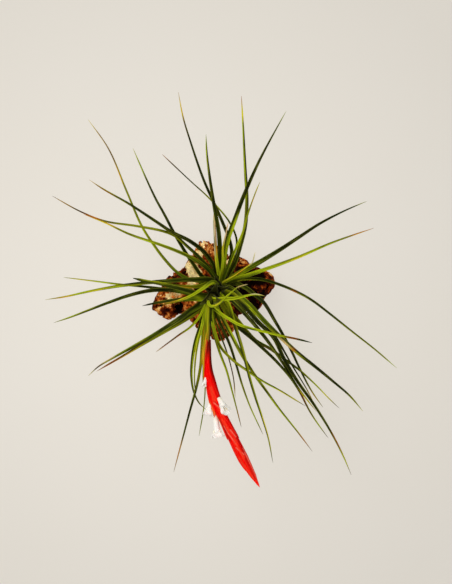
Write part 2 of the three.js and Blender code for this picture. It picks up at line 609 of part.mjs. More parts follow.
const footHole = loft([0, 0.3, 0.6].map((along) => {
  const centre = stemLine.getPointAt(along);
  centre.z -= along === 0 ? GAP : 0;
  return levelRing(centre, STEM_RADIUS + GAP);
}));
const flowers = FLOWERS.map((row) => flower(row, 0));
const flowerRoom = join(FLOWERS.map((row) => flower(row, GAP)));
const scapeRoom = scape(SCAPE_PEG_RADIUS + GAP);
const spike = join([rachis(), ...BRACTS.map(bract)]).subtract(flowerRoom).subtract(scapeRoom);

place('cork_bark', mainBody(corkBark().subtract(footHole)), paint(0x8a4a22, 0.95));
place('leafy_stem', mainBody(leafyStem()), paint(0x4d6a1a, 0.6));
place('flower_spike', mainBody(spike), paint(0xd8140c, 0.45));
flowers.forEach((body, index) => place(`flower_${index + 1}`, mainBody(body), paint(0xf4efe2, 0.5)));

export default group;
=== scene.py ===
"""Air plant on a piece of cork bark: its leaves, stem, bark, red spike and white flowers."""

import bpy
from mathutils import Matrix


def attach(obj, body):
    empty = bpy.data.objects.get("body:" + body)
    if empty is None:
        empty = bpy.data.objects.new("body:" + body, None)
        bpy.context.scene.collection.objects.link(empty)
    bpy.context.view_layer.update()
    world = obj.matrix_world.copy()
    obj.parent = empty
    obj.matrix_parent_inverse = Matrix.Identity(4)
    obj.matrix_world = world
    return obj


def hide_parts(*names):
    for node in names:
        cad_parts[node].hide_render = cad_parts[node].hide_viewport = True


bl_info = {
    "name": "Air plant on cork bark",
    "version": (1, 0, 0),
    "blender": (4, 5, 0),
    "location": "View3D > Sidebar > Air plant",
    "description": "Builds the leaves, stem, cork bark, red spike and white flowers of an air plant",
    "category": "Add Mesh",
}

import math
import random
from collections import namedtuple

import bmesh
import bpy
from mathutils import Matrix, Vector, noise
from mathutils.bvhtree import BVHTree
from mathutils.geometry import intersect_point_line
from mathutils.kdtree import KDTree

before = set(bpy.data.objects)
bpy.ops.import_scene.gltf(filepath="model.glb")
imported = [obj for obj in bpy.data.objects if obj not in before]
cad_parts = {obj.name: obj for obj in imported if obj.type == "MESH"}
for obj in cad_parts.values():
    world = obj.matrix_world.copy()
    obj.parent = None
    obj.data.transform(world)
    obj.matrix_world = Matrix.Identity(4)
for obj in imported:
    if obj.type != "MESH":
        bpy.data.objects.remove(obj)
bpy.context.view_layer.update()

# Driving sizes in millimetres, the same as in the part. Plan points are as seen from straight above, from
# EYE_HEIGHT over the ground, with the origin below the plant's heart.
MM = 0.001
EYE_HEIGHT = 700
UP = Vector((0, 0, 1))
STEM_FOOT = Vector((-1.5, 5, 18))
STEM_MIDDLE = Vector((-4, 2.5, 48))
STEM_TOP = Vector((-10, -5.5, 76))
STEM_RADIUS = 3.4
STEM_TAPER = 0.45
SHEATH_COUNT = 14
SHEATH_LENGTH = 15
SHEATH_WIDTH = 6.5
SHEATH_ROOT = 2.2
SHEATH_REACH = 5.5
SHEATH_STATIONS = (0.22, 0.92)
SCALE_LEAF_COUNT = 12
SCALE_LEAF_STATIONS = (0.1, 0.3)
ROOT_COUNT = 9
GOLDEN_ANGLE = math.radians(137.5)
SCAPE_RISE = 3.5
SCAPE_PEG_STATION = 0.06
SCAPE_RADII = (1.9, 0.9)
SPIKE_HEIGHTS = (84, 98)
BRACT_FLATNESS = 0.62
BRACT_TOOTH = 0.14
BLADE_CUTS = (58, 8)
BLADE_FLARE = 0.28
BLADE_FLARE_REACH = 9
BLADE_LEAST_WIDTH = 0.68
FLECK_REACH = 0.02
ROOT_SEED = 11
CRUMB_COUNT = 620
CRUMB_SEED = 5
CRUMB_LOWEST = 4
PETAL_COUNT = 3
STAMEN_COUNT = 5
PETAL_WIDTHS = ((-0.4, 0.3), (0, 0.36), (0.35, 0.5), (0.7, 0.46), (0.9, 0.3), (1, 0.12))

# Sizes of the stage in metres, and the camera's sensor in millimetres.
FLOOR_HALF = 3
LIGHT_AIM = (0, 0, 0.05)
LAMP_AIM = (-0.03, 0, 0)
SENSOR_WIDTH = 36

# Shades of a leaf, each with the letter that the leaf rows use for it.
SHADES = {
    "K": ("black_green", "Black green", (20, 24, 0)),
    "D": ("dark_green", "Dark green", (42, 52, 0)),
    "G": ("mid_green", "Middle green", (84, 102, 2)),
    "O": ("olive", "Olive", (132, 136, 6)),
    "L": ("lime", "Lime", (176, 192, 14)),
    "Y": ("yellow", "Yellow lime", (224, 212, 36)),
    "A": ("amber", "Amber", (226, 166, 26)),
    "B": ("orange_brown", "Orange brown", (184, 96, 24)),
    "R": ("dark_brown", "Dark brown", (80, 44, 26)),
    "T": ("tan", "Tan", (206, 174, 110)),
    "P": ("pale", "Pale straw", (230, 216, 166)),
    "C": ("peach", "Peach", (246, 196, 142)),
}

# Leaves, oldest and lowest first: the station of the root on the stem, the width, the heights that the arch
# pulls to and that the tip reaches, the shades of the left and the right side from root to tip, as seen when
# looking from the root to the tip, and the plan; then how much of its width the blade keeps up to the tip,
# and the station and shade of a fleck, if it has one.
# Left and right shades: the leaf's own colours with a painted lit side and a painted shaded side.
Leaf = namedtuple("Leaf", "root width arch tip left right plan bluntness fleck", defaults=(0.22, None))
LEAVES = (
    Leaf(0.24, 2.1, 70, 40, "GGGOLLOOARTY", "DDGGOOGOOTRT", (
        (-24.5, 8.6), (-31.8, 12.8), (-40.2, 21.6), (-47.6, 31.5), (-54.5, 42.3), (-65, 66.5), (-76, 92.5),
        (-89.5, 112))),
    Leaf(0.3, 2.5, 76, 55, "DDDDDDDDLY", "KKKKKKKKGL", (
        (-15.1, 9.9), (-21, 17.8), (-27.6, 27.8), (-33.9, 38.6), (-40.2, 50.7), (-45.4, 60), (-52, 74),
        (-60.5, 93.5))),
    Leaf(0.36, 2.9, 96, 60, "DKKKKDDOBT", "DKKKKKDDOT", (
        (-6.4, 12.8), (-8.5, 17.8), (-13.9, 25.7), (-23.5, 33.2), (-35.2, 39.1), (-46.4, 46.5), (-62.5, 57),
        (-80, 67), (-89, 73))),
    Leaf(0.4, 2.2, 92, 50, "DDDDOOOOORBRAR", "KDDDDDOOODBRAR", (
        (-9.3, 13.2), (-16.8, 22), (-25.5, 29.9), (-32.6, 36.1), (-40.2, 39.3), (-59, 43), (-78.5, 46),
        (-95, 52.5), (-113, 62.5))),
    Leaf(0.42, 2.6, 86, 42, "DDGOLOYA", "DGOLOOAB", (
        (-8.5, 11), (-12.7, 15.7), (-20.2, 21.1), (-29.7, 25.7), (-43, 30.8), (-62.5, 37.5), (-78.5, 45),
        (-92.5, 50.5))),
    Leaf(0.34, 2.4, 92, 70, "DDKKKKKKKKRYT", "DDKKKKKKKKDAT", (
        (1.8, 17), (3.8, 26), (2, 34.9), (-0.6, 41.5), (-5.6, 53.2), (-14.5, 73), (-23.5, 99), (-28, 114),
        (-31, 130))),
    Leaf(0.42, 3.2, 106, 86, "DDDDDDKKOLL", "GGDDDKKKKDG", (
        (-4, 11), (-4, 27.5), (-5, 40.5), (-7.5, 54.5), (-10.5, 74), (-12.5, 91), (-13, 102.5))),
    Leaf(0.2, 1.5, 68, 74, "DDDDDOODDRR", "DDDDGLOODRB", (
        (0.5, 14.5), (5, 24), (7, 33), (2.5, 45), (-10.5, 60.5), (-23.5, 72.5), (-41.5, 89.5))),
    Leaf(0.38, 2.2, 84, 78, "LLYPPPC", "OLLACCC", (
        (-4.5, 10.5), (-6.2, 22), (-7.1, 36.5), (-7.6, 46), (-7.4, 53.5)), bluntness=0.6),
    Leaf(0.3, 3, 82, 74, "DDDOOOLLLLLYB", "DDDDKKKKKDDYB", (
        (2.5, 12.5), (5.8, 19.5), (9.8, 32), (12.5, 43.5), (13.5, 60), (12.5, 79.5), (11, 110.5),
        (10, 127.5))),
    Leaf(0.44, 3.7, 100, 86, "LLDDKKKKDL", "LLLLKKKKOL", (
        (-2.5, 10.5), (-1.2, 24), (1, 34), (5.5, 46.5), (11.5, 62.5), (22, 86), (39, 117.5)), bluntness=0.08),
    Leaf(0.4, 1.9, 98, 104, "DGGLLLLY", "DGLLOOAY", (
        (0, 13), (3.5, 21), (7, 29.5), (11, 39), (14.5, 51.5), (19.5, 65.5), (22, 71.5))),
    Leaf(0.48, 1.8, 84, 92, "OLLYPC", "OOLYCC", (
        (-3.5, 9), (-2.1, 19.5), (-2, 28.5), (0, 38.5), (1.5, 45.5))),
    Leaf(0.32, 3.5, 88, 62, "OOGDKKKKDO", "LLGDKKKDDO", (
        (0.5, 7), (11, 13.5), (21, 19), (35, 27.5), (48, 36), (61, 44.5), (77.5, 53), (91.5, 59)),
        bluntness=0.12),
    Leaf(0.36, 2.8, 84, 46, "LLLLOOOOOBB", "DDGLLYLLOAT", (
        (2.5, 7), (13, 10.5), (22, 13.5), (35, 18), (48, 23), (67.5, 31.5), (84, 37.5), (96, 41.5)),
        bluntness=0.18),
    Leaf(0.22, 2, 84, 34, "DDDDDKDDDOL", "OODDODDOOOL", (
        (4, 7), (12.5, 8.6), (23.5, 8.2), (35, 4.8), (48, -0.8), (56.3, -5.6), (67, -13.7), (80.5, -24.5),
        (97, -37.5), (111, -49.5)), bluntness=0.35, fleck=(0.37, "B")),
    Leaf(0.44, 1.8, 74, 84, "LYYAYPP", "LLLOOPP", (
        (-1.5, 6), (6, 10.5), (13.5, 16), (17, 19), (18, 22), (19, 26))),
    Leaf(0.56, 2.2, 70, 40, "LLDDDLLYO", "OGDDKOLYO", (
        (-13.5, -2.5), (-26.5, 0.5), (-39.5, 2), (-52.5, 3.5), (-69, 5), (-85, 7), (-105.5, 9.5))),
    Leaf(0.44, 3, 88, 38, "DDDDDOLYLAY", "DDDDDDOOLYY", (
        (-8.5, 7.5), (-23.5, 8), (-39.5, 7), (-56, 5.5), (-72, 3.5), (-88.5, 0.5), (-104.5, -3),
        (-117.5, -5))),
    Leaf(0.74, 3, 92, 76, "LGDDDDK", "GDDDOOK", (
        (-13, -2.5), (-23.5, 0.5), (-33, 3), (-43, 5.5), (-51.5, 7), (-60.5, 9)), bluntness=0.5),
    Leaf(0.66, 3.2, 84, 35, "LLGKKKDDDOL", "LOGKKKDDOLO", (
        (-13, -3.5), (-24.5, -0.5), (-36.5, 1.5), (-49.5, 1), (-62.5, -2), (-75.5, -6.5), (-88.5, -11.5),
        (-101.5, -16.5), (-112, -20))),
    Leaf(0.76, 3.3, 80, 62, "OLGDDKK", "LLGDKKK", (
        (-12.5, -4), (-23.5, -4.5), (-35, -5.5), (-45, -7), (-54.5, -9))),
    Leaf(0.5, 2.4, 108, 80, "GLLLYYA", "GGLLYAO", (
        (-8, 6.5), (-15, 2.3), (-23.5, -2.7), (-32, -6), (-42.5, -8.4))),
    Leaf(0.38, 3, 62, 58, "OLOAOD", "OLOOOD", (
        (-9, 6), (-17, 4), (-24.5, 3.5), (-33, 4.5), (-43, 7))),
    Leaf(0.72, 3.8, 90, 30, "GGGDDDDKDGLRY", "DDKKDDGOGOTRY", (
        (-15, -7), (-23.5, -12.6), (-33, -19.3), (-46, -27.5), (-59, -34.8), (-72, -42), (-83, -48.5),
        (-89.5, -54.5)), bluntness=0.12),
    Leaf(0.66, 3.4, 80, 26, "DOOOOOYABB", "DDDDKKRRBR", (
        (-13.5, -8), (-19.5, -13), (-28.5, -19), (-41, -26.2), (-54, -33.8), (-67, -41.6), (-75.5, -46.5),
        (-84, -51.5))),
    Leaf(0.84, 1.9, 90, 50, "LLLLBBT", "GLLORRT", (
        (-13, -8.5), (-17.5, -16.5), (-23.5, -23), (-30, -27.5), (-37.5, -33), (-45.5, -39))),
    Leaf(0.97, 1.5, 108, 88, "LLYLLOTT", "LLLLLLTP", (
        (-11.5, -7), (-10, -9), (-7, -9), (-4.5, -7.5), (-1.5, -4.5), (2.5, -1), (6.5, 2.5), (10, 4),
        (14, 5))),
    Leaf(0.92, 2.4, 92, 84, "LLLLLPT", "GOLLLLO", (
        (-7.5, -5), (-0.5, -4.5), (6, -4), (12.5, -2.5), (19, -1.5), (25, -2.5))),
    Leaf(0.9, 1.9, 108, 86, "LLLLLLLLLBDK", "OGLLLGLLLBDK", (
        (-8.5, -9.5), (-3.5, -14), (2, -17.5), (8, -21), (15.5, -23.5), (25.5, -26), (36, -28.5), (46, -30.5),
        (56, -33)), bluntness=0.5),
    Leaf(0.34, 2.7, 82, 50, "DDDKKKKKKDOLR", "KKDDKKKKKKDBO", (
        (4, 6), (12.5, 3), (19.2, -2.1), (24.6, -6.8), (31.7, -18.5), (37, -27.7), (42.5, -38.1),
        (47.7, -49.3), (55.4, -64), (63, -75))),
    Leaf(0.6, 2.8, 72, 60, "LLOODGDDOLYR", "LOODDRODDOYR", (
        (2, -11.5), (9.3, -20.5), (14.4, -26.5), (19.4, -31.6), (28.3, -36.6), (39.3, -44.5), (48.1, -51),
        (58.5, -60.5), (66.3, -68.6), (73.5, -75.5)), bluntness=0.1),
    Leaf(0.52, 3.5, 98, 54, "KDGGGDDKKKKDOL", "KDLLGOTODKKDOY", (
        (2, 2.5), (10, -4), (16.6, -10.1), (25, -19.1), (34.3, -28.4), (46, -39.1), (57.9, -48.5),
        (69.5, -58), (80.5, -67.5), (89, -77.5)), fleck=(0.515, "B")),
    Leaf(0.6, 3, 98, 42, "OODKKKKKKKDBYR", "DDKKKKKKKKDOLR", (
        (4, -1.5), (8.6, -5.2), (13.4, -10.4), (20.8, -19.3), (30.8, -29.2), (37.7, -43.2), (46.8, -58.5),
        (55.9, -71.2), (66.5, -88), (75, -104), (81.5, -119))),
    Leaf(0.64, 2.8, 88, 52, "DDDKKKKDYY", "DKKKKKKDYB", (
        (2, -4), (6, -7.4), (13, -14.8), (20.8, -23.8), (27.6, -32.5), (37.1, -46.5), (47.5, -63.1),
        (58.8, -77.7))),
    Leaf(0.7, 2.6, 80, 44, "OODKKKKDBOLR", "LODKKKDDRROR", (
        (0, -13), (5.5, -20.5), (18.5, -31.8), (32.8, -45.2), (42, -55.9), (47.8, -64.7), (54, -76.7),
        (58.5, -83.9), (66.5, -95))),
    Leaf(0.5, 2, 84, 68, "DDDKKKKT", "OODDKKKA", (
        (8, -3.5), (16, -10), (23.4, -16.6), (33.2, -30.6), (42.9, -47.5), (52, -62.4), (56.9, -71.5))),
    Leaf(0.78, 2.5, 96, 42, "LLOLGDOOODLAR", "LODDOOLDLLOBR", (
        (-6, -10), (-1.5, -18.5), (3.8, -28.4), (9.3, -39), (17, -51.5), (26, -64), (35, -76.5),
        (45.5, -89.5), (56, -103.5))),
    Leaf(0.84, 2, 92, 60, "LLLLOOODDDOYR", "LLLODOOLLLYYR", (
        (-10, -11.5), (-8, -23.5), (-4, -35), (3.5, -43.5), (13.5, -51), (24, -58), (35, -64), (51.5, -74)),
        bluntness=0.36),
    Leaf(0.66, 2.5, 102, 50, "LLOOOLLYYL", "LODDDDKKDDLR", (
        (-3, -2.5), (1.4, -7.5), (4.4, -16.6), (7.2, -26), (10, -34.8), (12.6, -44.5), (15.3, -55.3),
        (19, -68), (23.5, -81.5), (27.5, -95), (30.5, -111))),
    Leaf(0.76, 2.1, 82, 44, "OODDDDOLLO", "DDKKKDOOLR", (
        (-7, -11), (-3.3, -21.5), (2, -33), (6.6, -47), (10.4, -60), (15.5, -74), (24, -92.5))),
    Leaf(0.8, 2.1, 86, 50, "LLLLLLLLLOBR", "OLLLOLLLLLOR", (
        (-9.5, -11), (-8.2, -24.5), (-4.2, -39), (0.5, -51.5), (4, -64.5), (7, -76), (10, -88))),
    Leaf(0.72, 1.4, 76, 56, "OODDRT", "OODRRT", (
        (-8.5, -12.5), (-4.5, -25.5), (0, -37.5), (3, -47.5), (5, -57), (6, -68.5))),
    Leaf(0.7, 2.4, 84, 44, "LLAAODKDTT", "OLLOODKDBR", (
        (-13, -10.5), (-14.5, -21.5), (-15.5, -35), (-16.5, -48), (-19, -61), (-23.5, -77.5), (-28, -94.5),
        (-34, -117))),
    Leaf(0.76, 2.9, 90, 50, "LLLLLLOO", "DDKKKKDO", (
        (-13.5, -10), (-16.5, -21.5), (-20, -32.5), (-22, -44), (-22.5, -54.5), (-21, -64.5), (-17.5, -72),
        (-13, -76.5))),
    Leaf(0.82, 2.1, 86, 66, "GLLLLO", "LLLYLO", (
        (-13, -11), (-15.5, -22), (-18.5, -34), (-20, -45), (-20.5, -56), (-20, -65.5))),
    Leaf(0.6, 1.5, 64, 36, "LLLLDOLO", "LLLODOLO", (
        (-11.5, -11), (-12.5, -28), (-13.5, -45.5), (-13.5, -62.5), (-14.5, -75.5), (-17.5, -93.5))),
    Leaf(0.92, 2.4, 94, 88, "LYOAAAB", "LLOOAOO", (
        (-12.7, -13), (-13.2, -24.7), (-14.3, -34.5), (-14.7, -44.2), (-14.8, -52), (-15, -59.8))),
    Leaf(0.9, 2.4, 74, 76, "GDDD", "DDKK", (
        (-11, -11), (-9, -21.5), (-8, -28.5), (-6.5, -33))),
)

# Middle line of the red spike, its half widths at stations from the scape to the point, and its bracts in two
# ranks: stations of base and point, the side (-1 left, 1 right) and the shade of the point.
SPIKE_PLAN = (
    (-11.5, -31), (-12.2, -41), (-11.9, -50.5), (-9.8, -60.5), (-6.8, -71.5), (-1.3, -83), (4.5, -95),
    (10.7, -107.5), (16.5, -117.5), (22, -127),
)
SPIKE_HALF_WIDTHS = (
    (0, 1.7), (0.07, 2.2), (0.18, 2.8), (0.26, 3.2), (0.36, 3.35), (0.46, 3.3), (0.53, 3.1), (0.64, 3.25),
    (0.72, 3.25), (0.8, 3.1), (0.86, 2.5), (0.92, 1.7), (0.96, 0.9), (1, 0.3),
)
BRACTS = (
    dict(base=0, point=0.27, side=-1, end="bract_orange"),
    dict(base=0, point=0.4, side=1, end="bract_brown"),
    dict(base=0.12, point=0.42, side=-1, end="bract_orange"),
    dict(base=0.22, point=0.48, side=1, end="bract_brown"),
    dict(base=0.25, point=0.485, side=-1, end="bract_rim", tooth=0.36),
    dict(base=0.36, point=0.67, side=1, end="bract_dark", tooth=0.07),
    dict(base=0.38, point=0.65, side=-1, end="bract_red", tooth=0.05),
    dict(base=0.5, point=0.81, side=1, end="bract_red", tooth=0.05),
    dict(base=0.53, point=0.87, side=-1, end="bract_light", tooth=0.05),
    dict(base=0.66, point=0.94, side=1, end="bract_red", tooth=0.07),
    dict(base=0.7, point=1, side=-1, end="bract_light", wrap=1),
)

# Pale and dark veins on the spike: station and place across at their start and end, half width and shade.
# The dark lines are partly painted shade beside the pale rims, where one bract overlaps the next.
VEINS = (
    (0.31, -0.1, 0.4, -0.05, 0.9, "bract_light"), (0.405, -0.3, 0.44, 0.25, 0.3, "bract_rim"),
    (0.44, 0.25, 0.5, 0.35, 0.3, "bract_rim"), (0.4, -0.05, 0.45, 0.5, 0.28, "bract_dark"),
    (0.52, -0.3, 0.6, 0, 0.7, "bract_light"), (0.56, -0.5, 0.615, -0.35, 0.26, "bract_rim"),
    (0.615, -0.35, 0.7, 0.12, 0.26, "bract_rim"), (0.6, 0.26, 0.655, 0.58, 0.26, "bract_rim"),
    (0.715, -0.2, 0.775, 0.5, 0.26, "bract_rim"), (0.66, 0.1, 0.8, 0.2, 0.6, "bract_light"),
    (0.5, -0.7, 0.66, -0.6, 0.5, "bract_dark"), (0.66, 0.55, 0.76, 0.75, 0.35, "bract_dark"),
    (0.78, -0.5, 0.93, -0.4, 0.5, "bract_light"), (0.8, 0.4, 0.94, 0.1, 0.3, "bract_dark"),
)

# White flowers: plan places and heights of root and mouth, radius of the tube, length, width and openness of
# the petals, and the turn of the first petal in degrees.
FLOWERS = (
    dict(root=(-12.9, -54.4), mouth=(-14, -59.6), heights=(87.5, 90.5), tube=1.1, petal=2.4,
         width=1.7, open=0.3, turn=30),
    dict(root=(-4.6, -69), mouth=(-1.5, -74.6), heights=(91.5, 95), tube=2, petal=5.2,
         width=4.3, open=0.33, turn=20),
    dict(root=(-9.6, -70), mouth=(-11.4, -77.5), heights=(89, 90.5), tube=1.6, petal=3.6,
         width=3.8, open=0.55, turn=90),
    dict(root=(-7.4, -77), mouth=(-5.6, -91.5), heights=(89, 90), tube=2.1, petal=4.6,
         width=5.2, open=0.74, turn=90),
)

# Patches of the bark seen from above: place, radius, and how much lighter (above 0) or darker they are.
# Darker patches under the leaves, as at (19.8, -5) and (12, -11), are painted shadow of the leaves.
BARK_PATCHES = (
    (-21.5, 14.5, 4.6, 1.7), (-18.5, 11.6, 4, 1.6), (-16.7, 24.2, 3.2, 1.2), (-14.2, 30.5, 2.8, 1),
    (-8.8, 25.2, 8, 0.22), (-26.8, 13.5, 1.9, -1.7), (-31.2, 10.4, 4, -0.2), (-20.8, 6.3, 4.6, 0.9),
    (-33, -2.2, 5, 1.1), (-41, -2.6, 4.2, 0.42), (-38.6, -4.6, 1.6, -0.7), (-40.6, -7.6, 2.8, 0.5),
    (-36, -8, 2.6, 0.55), (-43.2, -10.4, 2.6, 0.5), (-38, -11.6, 3.2, -0.3), (-37, -13.8, 1.7, 0.45),
    (-29.8, -10.4, 3, -1.3), (-25, -9.2, 3.4, 0.5), (11.3, 18.9, 4.6, 0.45), (27, 7.6, 2.8, 0.1),
    (11, 12.4, 5.5, -0.8), (19.5, 9.4, 5.6, -0.9), (25.6, 2, 7, -0.36), (19.8, -5, 7, -0.6),
    (12, -11, 7, -0.4), (8.8, 3.8, 8.5, -0.85), (-3.1, -18.9, 7, 0.1), (-5, -27, 4.6, -0.25),
    (-17.3, -6, 4, 0.4), (-19.5, -18.6, 5, 0.25), (-3.8, 1.3, 8, -0.8), (1.5, 19.5, 2.4, 0.9),
    (-4, -9, 5, -0.5),
)

# Shades of the bark from its hollows to its bare cork; the black of the hollows is partly painted shade.
BARK_LEVELS = (
    (-0.75, "bark_black"), (-0.32, "bark_dark"), (0, "bark_red"), (0.26, "bark_orange"), (0.55, "bark_tan"),
    (0.95, "bark_cream"),
)


def linear(red, green, blue):
    """A screen colour (0 to 255) as the linear colour that materials use."""
    def lift(value):
        share = value / 255
        return share / 12.92 if share <= 0.04045 else ((share + 0.055) / 1.055) ** 2.4
    return (lift(red), lift(green), lift(blue))


def colour_property(name, description, screen):
    return bpy.props.FloatVectorProperty(
        name=name, description=description, subtype="COLOR", size=3, min=0, max=1, default=linear(*screen)
    )


def size_property(name, description, millimetres):
    return bpy.props.FloatProperty(
        name=name, description=description, subtype="DISTANCE", unit="LENGTH", min=0,
        default=millimetres * MM, precision=5,
    )


class AirPlantLeafSettings(bpy.types.PropertyGroup):
    thickness: size_property("Thickness", "Thickness of a leaf at its root", 1.1)
    channel: bpy.props.FloatProperty(
        name="Channel", description="Rise of the margins as a share of the half width", default=0.34,
        min=0, max=1, subtype="FACTOR",
    )
    twist: bpy.props.FloatProperty(
        name="Twist", description="Most that a leaf turns round its own line", default=math.radians(16),
        subtype="ANGLE", unit="ROTATION",
    )
    scale_amount: bpy.props.FloatProperty(
        name="Silver scales", description="Strength of the pale speckle", default=0.015, min=0, max=1,
        subtype="FACTOR",
    )
    margin: colour_property("Margin", "Thin pale margins of the leaves", (196, 200, 60))
    sheath: colour_property("Sheath", "Pale green of the clasping leaf bases", (84, 86, 22))
    # Near black dry scales: their own dry colour, and painted shade in the heart of the rosette.
    dry_scale: colour_property("Dry scale", "Dead scales at the foot of the stem", (26, 20, 12))
    # The scape's sides: painted light on the left and painted shade on the right.
    scape_lit_side: colour_property("Scape light side", "Left side of the green scape", (158, 160, 12))
    scape_shaded_side: colour_property("Scape dark side", "Right side of the green scape", (34, 44, 0))


for _letter, (_name, _label, _screen) in SHADES.items():
    AirPlantLeafSettings.__annotations__[_name] = colour_property(_label, f"Leaf shade {_letter}", _screen)


class AirPlantBarkSettings(bpy.types.PropertyGroup):
    grain: size_property("Grain", "Spacing of the surface points", 0.55)
    relief: size_property("Relief", "Height of the ridges", 1.3)
    crumb: size_property("Crumb", "Largest radius of a crumb", 0.95)
    # The black of the deep cavities is partly painted shade.
    bark_black: colour_property("Black", "Deep cavities", (20, 6, 3))
    bark_dark: colour_property("Dark", "Weathered bark", (66, 20, 10))
    bark_red: colour_property("Red brown", "Main colour of the bark", (128, 46, 10))
    bark_orange: colour_property("Orange brown", "Fresh crumbly bark", (214, 112, 34))
    bark_tan: colour_property("Tan", "Dusty crumbs", (244, 180, 98))
    bark_cream: colour_property("Cream", "Bare cork", (255, 232, 168))


class AirPlantFlowerSettings(bpy.types.PropertyGroup):
    bract_red: colour_property("Red", "Main colour of the bracts", (250, 0, 0))
    # Light red is partly real streaks and partly a painted highlight on the spike's left and on bract faces.
    bract_light: colour_property("Light red", "Streaks along the bracts", (255, 62, 34))
    bract_dark: colour_property("Crimson", "Shaded edge of the bracts", (172, 0, 0))
    bract_brown: colour_property("Brown", "Dry points of the bracts", (78, 8, 2))
    bract_orange: colour_property("Orange", "Edge of the first bracts", (240, 128, 50))
    bract_yellow: colour_property("Yellow", "Foot of the first bracts", (190, 150, 14))
    bract_rim: colour_property("Pale rim", "Thin dry margins of the bracts", (255, 128, 104))
    petal: colour_property("Petal", "White of the petals", (255, 253, 248))
    petal_base: colour_property("Petal base", "Green white of the tube", (252, 247, 226))
    anther: colour_property("Anther", "Yellow of the anthers", (246, 232, 190))
    petal_thickness: size_property("Petal thickness", "Thickness of a petal", 0.35)


class AirPlantStageSettings(bpy.types.PropertyGroup):
    floor_colour: colour_property("Floor", "Colour of the pale floor", (140, 138, 133))
    floor_light: colour_property("Floor light", "Colour of the light in the floor", (255, 248, 237))
    floor_glow: bpy.props.FloatProperty(
        name="Floor glow", description="Light of the floor itself, which softens the shadows", default=0.5,
        min=0, soft_max=1,
    )
    camera_height: size_property("Camera height", "Height of the camera over the floor", EYE_HEIGHT)
    lens: bpy.props.FloatProperty(
        name="Lens", description="Focal length for a 36 mm sensor", default=66.39, min=1, unit="CAMERA",
    )


class AirPlantSettings(bpy.types.PropertyGroup):
    leaf: bpy.props.PointerProperty(type=AirPlantLeafSettings)
    bark: bpy.props.PointerProperty(type=AirPlantBarkSettings)
    flower: bpy.props.PointerProperty(type=AirPlantFlowerSettings)
    stage: bpy.props.PointerProperty(type=AirPlantStageSettings)


# Lines and numbers


def lerp(first, second, share):
    return first + (second - first) * share


def step(low, high, value):
    """0 below low, 1 above high and a smooth change between them."""
    share = min(max((value - low) / (high - low), 0), 1)
    return share * share * (3 - 2 * share)


def reading(table, station):
    """The value at a station of a table of (station, value)."""
    for (before, first), (after, second) in zip(table, table[1:]):
        if station <= after:
            return lerp(first, second, (station - before) / (after - before))
    return table[-1][1]


def in_place(seen, height):
    """A point at that height which looks to be at the plan point seen."""
    shrink = (EYE_HEIGHT - height) / EYE_HEIGHT
    return Vector((seen[0] * shrink, seen[1] * shrink, height))


class Route:
    """A smooth line through points, read by the share of its length."""

    def __init__(self, points, fine=14):
        points = [Vector(point) for point in points]
        ends = [points[0] * 2 - points[1], *points, points[-1] * 2 - points[-2]]
        self.points = [points[0]]
        for a, b, c, d in zip(ends, ends[1:], ends[2:], ends[3:]):
            ab, bc, cd = ((q - p).length ** 0.5 for p, q in ((a, b), (b, c), (c, d)))
            leave = ((b - a) / ab - (c - a) / (ab + bc) + (c - b) / bc) * bc
            arrive = ((c - b) / bc - (d - b) / (bc + cd) + (d - c) / cd) * bc
            for index in range(1, fine + 1):
                t = index / fine
                self.points.append(
                    b + leave * t + (c * 3 - b * 3 - leave * 2 - arrive) * t * t
                    + (b * 2 - c * 2 + leave + arrive) * t * t * t
                )
        self.reach = [0]
        for p, q in zip(self.points, self.points[1:]):
            self.reach.append(self.reach[-1] + (q - p).length)
        self.length = self.reach[-1]

    def at(self, share):
        goal = min(max(share, 0), 1) * self.length
        low, high = 0, len(self.reach) - 1
        while high - low > 1:
            middle = (low + high) // 2
            low, high = (middle, high) if self.reach[middle] <= goal else (low, middle)
        part = (goal - self.reach[low]) / max(self.reach[high] - self.reach[low], 1e-9)
        return self.points[low].lerp(self.points[high], part)


def frame_at(place, share, level=UP, near=0.006):
    """The point at a share of a line, with the directions across it and out of its upper face."""
    forward = (place(min(share + near, 1)) - place(max(share - near, 0))).normalized()
    side = level.cross(forward).normalized()
    return place(share), side, forward.cross(side).normalized()


STEM = Route((STEM_FOOT, STEM_MIDDLE, STEM_TOP))
SPIKE = Route([
    in_place(seen, lerp(*SPIKE_HEIGHTS, index / (len(SPIKE_PLAN) - 1)))
    for index, seen in enumerate(SPIKE_PLAN)
])


def leaf_line(leaf):
    """Place of a leaf's middle line at a share of its plan, and the plan's length."""
    root = STEM.at(leaf.root)
    grow = EYE_HEIGHT / (EYE_HEIGHT - root.z)
    plan = Route([(root.x * grow, root.y * grow, 0), *((x, y, 0) for x, y in leaf.plan)])

    def place(share):
        left = 1 - share
        height = root.z * left ** 2 + 2 * leaf.arch * share * left + leaf.tip * share ** 2
        return in_place(plan.at(share), height)

    return place, plan.length


# Meshes


def unit_slab(along, across):
    """A slab from 0 to 1 along X and -1 to 1 across, cut both ways, as a template for blades and petals."""
    bm = bmesh.new()
    bmesh.ops.create_cube(bm, size=1)
    bmesh.ops.translate(bm, verts=bm.verts, vec=(0.5, 0, 0))
    bmesh.ops.scale(bm, verts=bm.verts, vec=(1, 2, 2))
    for axis, cuts in ((0, along - 1), (1, across - 1)):
        edges = [e for e in bm.edges if abs(e.verts[0].co[axis] - e.verts[1].co[axis]) > 0.9]
        bmesh.ops.subdivide_edges(bm, edges=edges, cuts=cuts, use_grid_fill=True)
    return template(bm)


